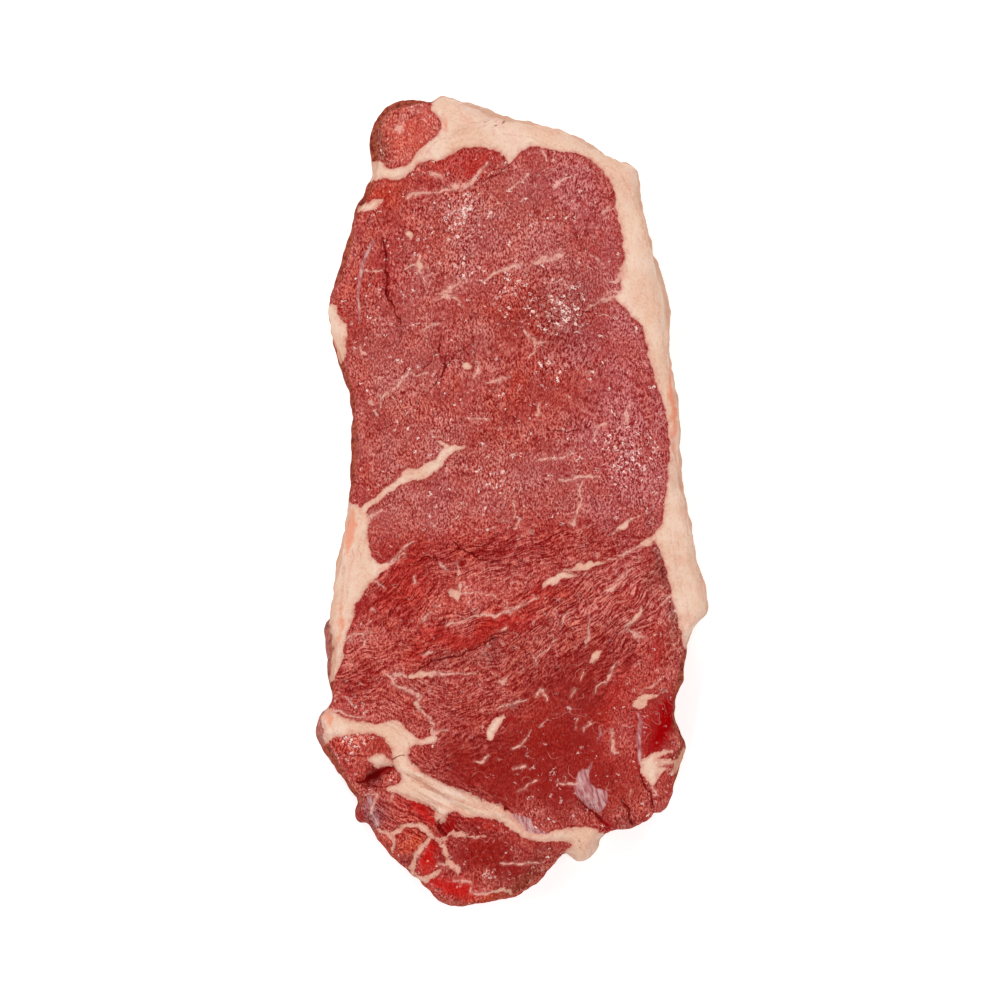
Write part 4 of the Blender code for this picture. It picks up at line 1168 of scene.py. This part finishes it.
def shader_group(name, inputs, outputs):
    """An empty shader node group with named sockets: its tree, its inputs and a link to its outputs."""
    group = bpy.data.node_groups.new(name, "ShaderNodeTree")
    for label, default in inputs.items():
        socket = group.interface.new_socket(name=label, in_out="INPUT", socket_type="NodeSocketFloat")
        socket.default_value = default
    for label, kind in outputs.items():
        group.interface.new_socket(name=label, in_out="OUTPUT", socket_type=kind)
    entry = group.nodes.new("NodeGroupInput")
    finish = group.nodes.new("NodeGroupOutput")
    return group, Tree(group), entry.outputs, finish.inputs


def linear(name):
    """A named colour of the finish, as a shader takes it."""
    return tuple(float(value) for value in linear_color(COLORS[name]))


def make_muscle_grain():
    """Cut muscle: fine grains in small bundles, drawn out into streaks where the fibres lie over."""
    inputs = {"Grain Size": 0.46, "Bundle Size": 2.6, "Streak Width": 0.56, "Contrast": 1.0}
    outputs = dict.fromkeys(["Shade", "Height", "Gap And Furrow Shade", "Warmth"], "NodeSocketFloat")
    group, tree, given, result = shader_group("muscle_grain", inputs, outputs)
    place = tree.place_mm()

    # Grain in upright columns, with small curls, busier in some clouds and where it sparkles
    column = tree.stretched(place, 1.0, 0.55, 0.18)
    grain = tree.spread(tree.noise(column, tree.per(given["Grain Size"]), 1.0, 0.7))
    coarse = tree.spread(tree.noise(place, 0.36, 1.0, 0.65))
    cloud = tree.noise(place, 0.11, 2.0, 0.6)
    busy = tree.sum([(tree.ramp(cloud, 0.38, 0.62, 0.55, 1.0), 1.0), (tree.attribute("sparkle"), 0.8)])
    curl = tree.ramp(tree.crease(tree.shifted(column, 17.0, 5.0, 0.0), 0.85, 1.0, 0.6), 0.0, 0.06, 1.0, 0.0)

    # Gaps between small bundles, and longer seams between large ones, both broken
    stir = tree.noise(column, 0.55, 0.0, output="Color")
    stirred = tree.vector("ADD", column, tree.stretched(stir, 1.8, 1.8, 1.8))
    gap = tree.ramp(tree.walls(stirred, tree.per(given["Bundle Size"])), 0.0, 0.06, 1.0, 0.0)
    gap = tree.times(gap, tree.ramp(tree.noise(place, 0.3, 1.0, 0.5), 0.46, 0.62))
    stirred = tree.vector("ADD", place, tree.stretched(stir, 5.0, 5.0, 5.0))
    seam = tree.ramp(tree.walls(stirred, 0.15), 0.0, 0.026, 1.0, 0.0)
    some = tree.noise(tree.shifted(place, 8.0, 30.0, 50.0), 0.10, 1.0, 0.5)
    seam = tree.times(seam, tree.ramp(some, 0.47, 0.56))

    # Streaks: dashes and furrows along the fibres, in each direction where it was laid
    bend = tree.stretched(tree.noise(place, 0.09, 1.0), -3.0, 6.0, 0.0)
    fibres = tree.vector("ADD", tree.stretched(place, 1.0, 1.0, 0.3), bend)
    weights = [tree.attribute("streak_" + way) for way in STREAK_TURNS]
    plain = tree.math("SUBTRACT", 1.0, tree.sum([(weight, 1.0) for weight in weights]), clamp=True)
    mixed = tree.times(tree.sum([(grain, 2.7), (curl, 0.20), (coarse, 0.42)]), busy)
    mixed, raised, lines = [(mixed, plain)], [(grain, 2.7)], []
    for weight, turn in zip(weights, STREAK_TURNS.values()):
        along = tree.turned(fibres, -turn)
        dash = tree.noise(tree.stretched(along, 0.20, 1.0, 1.0), tree.per(given["Streak Width"]), 1.0, 0.8)
        furrow = tree.crease(tree.stretched(along, 0.10, 0.62, 0.5), 1.0, 1.0)
        furrow = tree.ramp(furrow, 0.0, 0.050, 1.0, 0.0)
        drawn = tree.sum([(tree.spread(dash), 2.7), (furrow, -0.24)])
        mixed.append((tree.sum([(drawn, 1.0), (grain, 1.8)]), weight))
        raised.append((drawn, weight))
        lines.append((furrow, weight))

    # Shade follows the grain and streaks of Height: painted shade low down, painted highlight high up, plus
    # curls and clouds
    fine = tree.times(tree.sum(mixed), given["Contrast"])
    shade = tree.sum([(fine, 1.0), (tree.spread(cloud), 0.30), (gap, -0.20)])
    tree.feed(result["Shade"], tree.math("ADD", shade, 0.5, clamp=True))
    tree.feed(result["Height"], tree.times(tree.sum(raised), given["Contrast"]))
    # Dark lines between bundles and along seams, with painted shade in the furrows
    between = tree.sum([(gap, plain), (tree.sum(lines), 0.5), (seam, 1.2)])
    tree.feed(result["Gap And Furrow Shade"], tree.math("MINIMUM", between, 1.4))
    warm = tree.noise(tree.shifted(place, 60.0, 33.0, 4.0), 0.11, 2.0, 0.62)
    tree.feed(result["Warmth"], tree.ramp(warm, 0.38, 0.64))
    return group


def make_marbling():
    """Masks of fat, thin veins, purple silverskin and small threads, from what is stored on the mesh."""
    inputs = {"Edge Wander": 1.0, "Edge Softness": 0.34}
    kinds = ["Fat", "Vein", "Silverskin", "Thread", "Crack", "Fold", "Blush"]
    group, tree, given, result = shader_group("marbling", inputs, dict.fromkeys(kinds, "NodeSocketFloat"))
    place = tree.place_mm()
    wander = tree.spread(tree.noise(place, 0.8, 3.0, 0.68))
    ragged = tree.spread(tree.noise(place, 2.0, 1.0, 0.6))
    uneven = tree.noise(place, 0.6, 2.0, 0.65)

    # The fat's edge is more torn towards the tail, and its thinnest streaks are fainter in places
    torn = tree.ramp(tree.parts(place)[1], *TORN_EDGE_MM, 1.4, 0.9)
    wavy = tree.times(tree.sum([(wander, given["Edge Wander"]), (ragged, 0.5)]), torn)
    into = tree.attribute("fat_depth")
    depth = tree.sum([(into, 1.0), (wavy, 1.0), (tree.spread(torn), 0.30)])
    soft = given["Edge Softness"]
    whole = tree.math("MAXIMUM", tree.ramp(into, 0.5, 1.5), tree.ramp(uneven, 0.34, 0.56, 0.78, 1.0))
    tree.feed(result["Fat"], tree.times(tree.ramp(depth, tree.times(soft, -0.5), soft), whole))

    # Drawn lines: half the soft edge in mm, raggedness in mm, faintest strength, thinnest share of the width
    for kind, half, rough, least, thin in (
        ("Vein", 0.14, 0.45, 0.5, 0.28), ("Crack", 0.15, 0.2, 0.7, 0.70), ("Fold", 0.32, 0.3, 0.5, 0.50),
    ):
        sideways, distance, drawn = tree.parts(tree.attribute(kind.lower(), "Vector"))
        away = tree.math("MAXIMUM", tree.math("ABSOLUTE", sideways), tree.math("SUBTRACT", distance, 0.3))
        width = tree.times(drawn, tree.ramp(uneven, 0.3, 0.7, thin, 0.95, soft=False))
        depth = tree.sum([(width, 1.0), (away, -1.0), (wander, rough), (ragged, rough)])
        mask = tree.times(tree.ramp(depth, -half, half), tree.ramp(uneven, 0.34, 0.58, least, 1.0))
        if kind == "Vein":
            halo = tree.ramp(tree.math("SUBTRACT", drawn, away), -0.6, 0.4, 0.0, 0.26)
            mask = tree.math("MAXIMUM", mask, halo)
        tree.feed(result[kind], mask)

    skin = tree.sum([(tree.attribute("silverskin"), 1.0), (wander, 0.45)])
    tree.feed(result["Silverskin"], tree.ramp(skin, -0.3, 0.3))

    curl = tree.crease(tree.shifted(place, 5.0, 90.0, 2.0), 0.17, 1.0, 0.55)
    some = tree.ramp(tree.noise(tree.shifted(place, 70.0, 4.0, 8.0), 0.20, 1.0, 0.5), 0.52, 0.62)
    tree.feed(result["Thread"], tree.times(tree.ramp(curl, 0.002, 0.010, 1.0, 0.0), some))

    edge = tree.math("ADD", tree.attribute("blush"), wander)
    tree.feed(result["Blush"], tree.ramp(edge, -0.6, 0.6))
    return group


def make_fat_wax():
    """Beef fat: cream with pinker and yellower clouds, lines along the rim and a waxy, lumpy surface,
    with a painted highlight on its lumps and painted shade in its pits.
    """
    inputs = {"Cloud Size": 12.0, "Line Spacing": 1.3, "Strand Width": 1.1}
    outputs = {"Color": "NodeSocketColor", "Height": "NodeSocketFloat"}
    group, tree, given, result = shader_group("fat_wax", inputs, outputs)
    place = tree.place_mm()
    cloud = tree.noise(place, tree.per(given["Cloud Size"]), 2.0, 0.6)
    color = tree.mix(tree.ramp(cloud, 0.36, 0.64), linear("fat_cream"), linear("fat_yellow"))
    pink = tree.noise(tree.shifted(place, 40.0, 0.0, 9.0), 0.19, 2.0, 0.62)
    color = tree.mix(tree.ramp(pink, 0.50, 0.72, 0.0, 0.40), color, linear("fat_pink"))

    # Lines along the rim, kept in places
    _, along, upward = tree.parts(place)
    inward = tree.math("DIVIDE", tree.attribute("rim"), given["Line Spacing"])
    along, upward = tree.times(along, 0.09), tree.times(upward, 0.25)
    layered = tree.add("ShaderNodeCombineXYZ", X=inward, Y=along, Z=upward)
    layered = tree.spread(tree.noise(layered, 1.0, 1.0, 0.5))
    lines = tree.ramp(tree.math("ABSOLUTE", layered), 0.0, 0.05, 1.0, 0.0)
    lines = tree.times(lines, tree.ramp(tree.noise(place, 0.16, 1.0, 0.5), 0.45, 0.6))
    color = tree.cover(color, "fat_line", lines, 0.26)

    # Strands along the rolled seam: pinker with painted shade in their dips, and a painted highlight on top
    drawn = tree.stretched(tree.turned(place, FAT_STRAND_TURN), 0.10, 1.0, 0.6)
    strand = tree.spread(tree.noise(drawn, tree.per(given["Strand Width"]), 1.0, 0.6))
    strand = tree.times(strand, tree.ramp(tree.attribute("streak_down"), 0.1, 0.6))
    color = tree.mix(tree.ramp(strand, 0.01, 0.13, 0.0, 0.55), color, linear("fat_strand_shade"))
    color = tree.mix(tree.ramp(strand, -0.14, -0.03, 0.45, 0.0), color, linear("fat_strand_highlight"))

    # Painted highlight on the lumps and painted shade in the pits, from the noise that raises them
    fine = tree.noise(place, 1.5, 2.0, 0.7)
    color = tree.mix(tree.ramp(fine, 0.40, 0.72, 0.0, 0.40), color, linear("fat_lump_highlight"))
    color = tree.mix(tree.ramp(fine, 0.28, 0.46, 0.30, 0.0), color, linear("fat_pit_shade"))
    tree.feed(result["Color"], color)
    tree.feed(result["Height"], tree.sum([(tree.spread(fine), 0.8), (layered, 0.9), (strand, -1.6)]))
    return group


def make_wetness():
    """Where the surface is wet: a patchy film, and small curls of grain with painted highlights on them."""
    inputs = {"Dry Roughness": 0.50, "Wet Roughness": 0.26, "Speck Spacing": 0.85}
    outputs = dict.fromkeys(["Roughness", "Film", "Painted Glint"], "NodeSocketFloat")
    group, tree, given, result = shader_group("wetness", inputs, outputs)
    place = tree.place_mm()
    sparkle = tree.attribute("sparkle")
    patch = tree.ramp(tree.noise(place, 0.08, 1.0, 0.6), 0.38, 0.66)
    wet = tree.math("MAXIMUM", tree.times(patch, 0.35), sparkle, clamp=True)
    tree.feed(result["Film"], wet)
    rough = tree.add("ShaderNodeMix", 0, None, Factor=wet, A=given["Dry Roughness"], B=given["Wet Roughness"])
    tree.feed(result["Roughness"], rough)

    # A painted highlight speck is lit more often near a sparkle, and seldom elsewhere
    specks = {"Vector": place, "Scale": tree.per(given["Speck Spacing"])}
    chance, brightness, _ = tree.parts(tree.add("ShaderNodeTexVoronoi", "Color", None, **specks))
    bunch = tree.noise(tree.shifted(place, 9.0, 2.0, 60.0), 0.42, 2.0, 0.6)
    near = tree.sum([(tree.math("POWER", sparkle, 1.6), 0.45), (tree.spread(bunch), 1.0)])
    lit = tree.ramp(tree.math("SUBTRACT", near, chance), -0.06, 0.10)
    lit = tree.times(lit, tree.ramp(brightness, 0.0, 0.6, 0.35, 1.0))
    lit = tree.math("MAXIMUM", lit, tree.ramp(chance, 0.93, 0.96, 0.0, 0.08))
    curl = tree.crease(tree.shifted(place, 3.0, 70.0, 11.0), 1.15, 1.0, 0.6)
    curl = tree.ramp(curl, 0.045, 0.11, 1.0, 0.0)
    laid = tree.sum([(tree.attribute("streak_" + way), 1.0) for way in STREAK_TURNS])
    curl = tree.times(curl, tree.ramp(laid, 0.2, 0.9, 1.0, 0.25))
    tree.feed(result["Painted Glint"], tree.times(lit, curl))
    return group


def flesh_material(name, groups, bump_mm, coat, gloss):
    """One finish for lean and fat together: what shows where comes from the masks."""
    material = bpy.data.materials.new(name)
    material.use_nodes = True
    tree = Tree(material.node_tree)
    surface = material.node_tree.nodes["Principled BSDF"]
    placed = {}
    for label, group in groups.items():
        node = material.node_tree.nodes.new("ShaderNodeGroup")
        node.node_tree = group
        placed[label] = node.outputs
    grain, masks, wax, wet = placed["grain"], placed["marbling"], placed["wax"], placed["wetness"]
    place = tree.place_mm()
    side = tree.attribute("side")
    into = tree.attribute("fat_depth")

    # The grain is plainest on tones of middling green, and calm on the palest and the deepest
    tone = tree.attribute("tone", "Color")
    green = tree.parts(tone)[1]
    calm = tree.times(tree.ramp(green, 0.09, 0.16, 1.0, 0.42), tree.ramp(green, 0.006, 0.07, 0.42, 1.0))

    # Lean: its tone and grain, with painted shade making it darker and redder between the grains
    # and a painted highlight making it paler on top of them
    shade = tree.math("ADD", tree.times(tree.spread(grain["Shade"]), calm), 0.5)
    shade_and_highlight_gain = tree.mix(tree.ramp(shade, 0.05, 0.50, soft=False), (0.54, 0.12, 0.14), (0.99, 0.85, 0.87))
    shade_and_highlight_gain = tree.mix(tree.ramp(shade, 0.50, 0.95, soft=False), shade_and_highlight_gain, (1.60, 2.8, 2.7))
    tint = tree.mix(grain["Warmth"], (1.0, 1.0, 1.0), (0.99, 0.82, 0.75))
    lean = tree.mix(1.0, tree.mix(1.0, tone, tint, "MULTIPLY"), shade_and_highlight_gain, "MULTIPLY")
    # Dark lines between bundles, and painted shade in the furrows
    lean = tree.cover(lean, "gap_and_furrow_shade", tree.times(grain["Gap And Furrow Shade"], 0.50), calm)
    lean = tree.mix(tree.ramp(into, -1.3, -0.3, 0.0, 0.40), lean, linear("beside_fat"))
    lean = tree.cover(lean, "thread", masks["Thread"], 0.42)
    # Painted highlights: pale glints on the wet grain
    lean = tree.cover(lean, "glint", wet["Painted Glint"], calm)

    # Purple silverskin, with pale strands
    strand = tree.noise(tree.stretched(tree.turned(place, 75.0), 0.20, 0.9, 0.5), 1.0, 2.0, 0.7)
    skin = tree.mix(tree.ramp(strand, 0.34, 0.68), linear("silverskin"), linear("silverskin_strand"))
    lean = tree.cover(lean, skin, masks["Silverskin"], 0.72)

    # The wall: brown, darker in the dips of an upright noise, with paler sheets of silverskin standing up it
    upright = tree.noise(tree.stretched(place, 0.9, 0.9, 0.16), 0.8, 2.0, 0.65)
    wall_brown = tree.mix(tree.ramp(upright, 0.34, 0.56), linear("wall_brown_dip"), linear("wall_brown"))
    wall_brown = tree.mix(tree.ramp(upright, 0.58, 0.72, 0.0, 0.6), wall_brown, linear("wall_pale_sheet"))
    lean = tree.cover(lean, wall_brown, side, 0.84)
    lean = tree.cover(lean, "vein", masks["Vein"], 0.80)

    # Fat: pinker next to the lean, tan on its wall
    fat = tree.mix(tree.ramp(into, 0.0, 1.1, 0.62, 0.0), wax["Color"], linear("fat_edge"))
    fat = tree.cover(fat, tree.mix(upright, linear("fat_wall_dip"), linear("fat_wall")), side, 0.62)
    # Painted shade along the folds
    fat = tree.cover(fat, "fat_fold_shade", masks["Fold"], 0.42)
    fat = tree.cover(fat, "blush", masks["Blush"], 0.62)
    # Cracks over all: dark red, painted shade in the cracks
    both = tree.cover(tree.mix(masks["Fat"], lean, fat), "crack", masks["Crack"], 0.92)
    tree.feed(surface.inputs["Base Color"], both)

    # The film of wet is thin on the brown wall
    lean_height = tree.times(tree.times(grain["Height"], calm), bump_mm)
    fat_height = tree.times(wax["Height"], FAT_BUMP_MM)
    height = tree.add("ShaderNodeMix", Factor=tree.ramp(into, -0.2, 0.3), A=lean_height, B=fat_height)
    tree.feed(surface.inputs["Normal"], tree.add("ShaderNodeBump", Height=height, Distance=MM, Strength=1.0))
    tree.feed(surface.inputs["Roughness"], wet["Roughness"])
    facing = tree.math("SUBTRACT", 1.0, tree.times(side, 0.85))
    tree.feed(surface.inputs["Coat Weight"], tree.times(tree.times(wet["Film"], coat), facing))
    surface.inputs["Coat Roughness"].default_value = COAT_ROUGHNESS
    surface.inputs["Specular IOR Level"].default_value = gloss
    return material


def make_fine_relief():
    """A Geometry Nodes tree: lumps of grain, ridges along the fibres, and creases in the fat."""
    tree = bpy.data.node_groups.new("fine_relief", "GeometryNodeTree")
    tree.interface.new_socket(name="Geometry", in_out="INPUT", socket_type="NodeSocketGeometry")
    sizes = {"Grain Lump": 0.00014, "Fibre Ridge": 0.00010, "Fat Lump": 0.00028, "Side Fold": 0.00055}
    for label, default in {**sizes, "Seed": 3.0}.items():
        socket = tree.interface.new_socket(name=label, in_out="INPUT", socket_type="NodeSocketFloat")
        socket.default_value = default
    tree.interface.new_socket(name="Finish", in_out="INPUT", socket_type="NodeSocketMaterial")
    tree.interface.new_socket(name="Geometry", in_out="OUTPUT", socket_type="NodeSocketGeometry")
    given = tree.nodes.new("NodeGroupInput").outputs
    build = Tree(tree)

    def stored(name, kind="FLOAT"):
        node = tree.nodes.new("GeometryNodeInputNamedAttribute")
        node.data_type = kind
        node.inputs["Name"].default_value = name
        return node.outputs["Attribute"]

    def noise(vector, scale, detail):
        return build.spread(build.add(
            "ShaderNodeTexNoise", 0, {"noise_dimensions": "4D"},
            Vector=vector, W=given["Seed"], Scale=scale, Detail=detail, Roughness=0.55,
        ))

    place = build.vector("MULTIPLY", tree.nodes.new("GeometryNodeInputPosition").outputs[0], (1.0 / MM,) * 3)
    fat = build.ramp(stored("fat_depth"), -0.4, 0.8)
    lean = build.math("SUBTRACT", 1.0, fat)
    terms = [(build.times(noise(place, 0.42, 2.0), given["Grain Lump"]), lean)]
    for way, turn in STREAK_TURNS.items():
        ridge = noise(build.stretched(build.turned(place, -turn), 0.10, 0.62, 0.3), 1.0, 1.0)
        ridge = build.times(build.times(ridge, given["Fibre Ridge"]), stored("streak_" + way))
        terms.append((build.times(ridge, 2.0), lean))
    lump = build.times(noise(place, 0.22, 3.0), given["Fat Lump"])
    fold = build.times(noise(build.stretched(place, 0.12, 0.12, 0.30), 1.0, 2.0), given["Side Fold"])
    terms.append((build.sum([(lump, fat), (fold, stored("side"))]), 1.0))
    outward = stored("outward", "FLOAT_VECTOR")
    offset = build.add("ShaderNodeVectorMath", 0, {"operation": "SCALE"}, i0=outward, Scale=build.sum(terms))
    moved = build.add("GeometryNodeSetPosition", Geometry=given["Geometry"], Offset=offset)
    real = build.add("GeometryNodeRealizeInstances", Geometry=moved)
    dressed = build.add("GeometryNodeSetMaterial", Geometry=real, Material=given["Finish"])
    tree.links.new(dressed, tree.nodes.new("NodeGroupOutput").inputs["Geometry"])
    return tree


def dress(item, relief, material):
    """Paint a layer, raise its fine relief and give it its finish."""
    paint(item.data)
    item.data.materials.clear()
    modifier = item.modifiers.new("fine_relief", "NODES")
    modifier.node_group = relief
    for socket in relief.interface.items_tree:
        if socket.name == "Finish":
            modifier[socket.identifier] = material
    mesh = applied(item)
    mesh.shade_smooth()
    mesh.set_sharp_from_angle(angle=math.radians(SHARP_DEGREES))


def settle(items, low, high):
    """Fit the finished layers to the solids' own box."""
    bpy.context.view_layer.update()
    corners = np.array([corner for item in items for corner in item.bound_box])
    least, most = corners.min(axis=0), corners.max(axis=0)
    stretch = [(high[axis] - low[axis]) / (most[axis] - least[axis]) for axis in range(3)]
    fit = Matrix.Translation(low) @ Matrix.Diagonal((*stretch, 1.0)) @ Matrix.Translation(-Vector(least))
    for item in items:
        item.data.transform(fit)


def add_floor():
    """A plain pale floor that renders white."""
    bpy.ops.mesh.primitive_plane_add(size=FLOOR_SIZE)
    floor = bpy.context.object
    floor.name = "floor"
    material = bpy.data.materials.new("floor")
    material.use_nodes = True
    surface = material.node_tree.nodes["Principled BSDF"]
    surface.inputs["Base Color"].default_value = (*[FLOOR_GREY] * 3, 1.0)
    surface.inputs["Roughness"].default_value = 0.9
    surface.inputs["Specular IOR Level"].default_value = 0.0
    surface.inputs["Emission Color"].default_value = (1.0, 1.0, 1.0, 1.0)
    surface.inputs["Emission Strength"].default_value = FLOOR_GLOW
    floor.data.materials.append(material)


def add_light(name, place, size, watts):
    """A round soft lamp that faces the steak."""
    data = bpy.data.lights.new(name, "AREA")
    data.shape = "DISK"
    data.size = size
    data.energy = watts
    lamp = bpy.data.objects.new(name, data)
    lamp.location = place
    lamp.rotation_euler = (-Vector(place)).to_track_quat("-Z", "Y").to_euler()
    bpy.context.scene.collection.objects.link(lamp)


def add_light_and_camera():
    """A white world, a ring of soft lamps, a small one for the glints, and the camera straight above."""
    world = bpy.data.worlds.new("studio")
    world.use_nodes = True
    background = world.node_tree.nodes["Background"]
    background.inputs["Color"].default_value = (1.0, 1.0, 1.0, 1.0)
    background.inputs["Strength"].default_value = WORLD_STRENGTH
    bpy.context.scene.world = world
    bpy.context.scene.view_settings.view_transform = "Standard"
    for index, watts in enumerate(RING_WATTS):
        angle = 2.0 * math.pi * index / len(RING_WATTS)
        place = (RING_RADIUS * math.cos(angle), RING_RADIUS * math.sin(angle), RING_HEIGHT)
        add_light(f"ring_{index}", place, RING_LAMP_SIZE, watts)
    add_light("glint", GLINT_PLACE, GLINT_LAMP_SIZE, GLINT_WATTS)

    data = bpy.data.cameras.new("camera")
    data.lens = CAMERA_LENS_MM
    data.sensor_width = SENSOR_MM
    data.clip_end = 10.0
    camera = bpy.data.objects.new("camera", data)
    distance = PHOTO_WIDTH_MM * MM * CAMERA_LENS_MM / SENSOR_MM
    camera.location = (PHOTO_CENTRE_MM[0] * MM, PHOTO_CENTRE_MM[1] * MM, THICKNESS * 0.6 + distance)
    bpy.context.scene.collection.objects.link(camera)
    bpy.context.scene.camera = camera


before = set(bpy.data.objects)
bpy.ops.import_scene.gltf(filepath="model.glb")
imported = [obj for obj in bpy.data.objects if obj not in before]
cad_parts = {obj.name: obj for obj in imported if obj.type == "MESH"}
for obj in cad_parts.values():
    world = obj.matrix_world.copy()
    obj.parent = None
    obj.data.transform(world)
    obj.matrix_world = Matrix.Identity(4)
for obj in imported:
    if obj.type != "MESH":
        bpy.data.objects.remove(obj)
cad_low, cad_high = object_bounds()

# Each piece: the solid it stands for, its slot, the loops it lies inside and those it leaves out
LOOPS = layer_loops()
LAYERS = {
    "loin_muscle": ("loin_lean", "lean", [], list(LOOPS)),
    "tail_muscle": ("tail_lean", "lean", ["tail_lean"], ["seam_fat"]),
    "small_cap_muscle": ("cap_muscle", "lean", ["cap_muscle"], []),
    "fat_cap_layer": ("fat_cap", "fat", ["fat_cap"], ["cap_muscle"]),
    "edge_fat_strip": ("edge_fat", "fat", ["edge_fat"], []),
    "seam_fat_roll": ("seam_fat", "fat", ["seam_fat"], []),
}

slab = make_slice()
shared = {
    "grain": make_muscle_grain(),
    "marbling": make_marbling(),
    "wax": make_fat_wax(),
    "wetness": make_wetness(),
}
finishes = {
    "lean": flesh_material("moist_lean", shared, bump_mm=0.30, coat=0.20, gloss=0.0),
    "fat": flesh_material("waxy_fat", shared, bump_mm=0.28, coat=0.18, gloss=0.06),
}
relief = make_fine_relief()
pieces = {}
for name, (node, slot, keep, drop) in LAYERS.items():
    pieces[name] = part_slice(slab, name, [LOOPS[key] for key in keep], [LOOPS[key] for key in drop])
    dress(pieces[name], relief, finishes[slot])
bpy.data.objects.remove(slab)
settle(list(pieces.values()), cad_low, cad_high)
for name, (node, slot, _, _) in LAYERS.items():
    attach(pieces[name], "root")
    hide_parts(node)

add_floor()
add_light_and_camera()
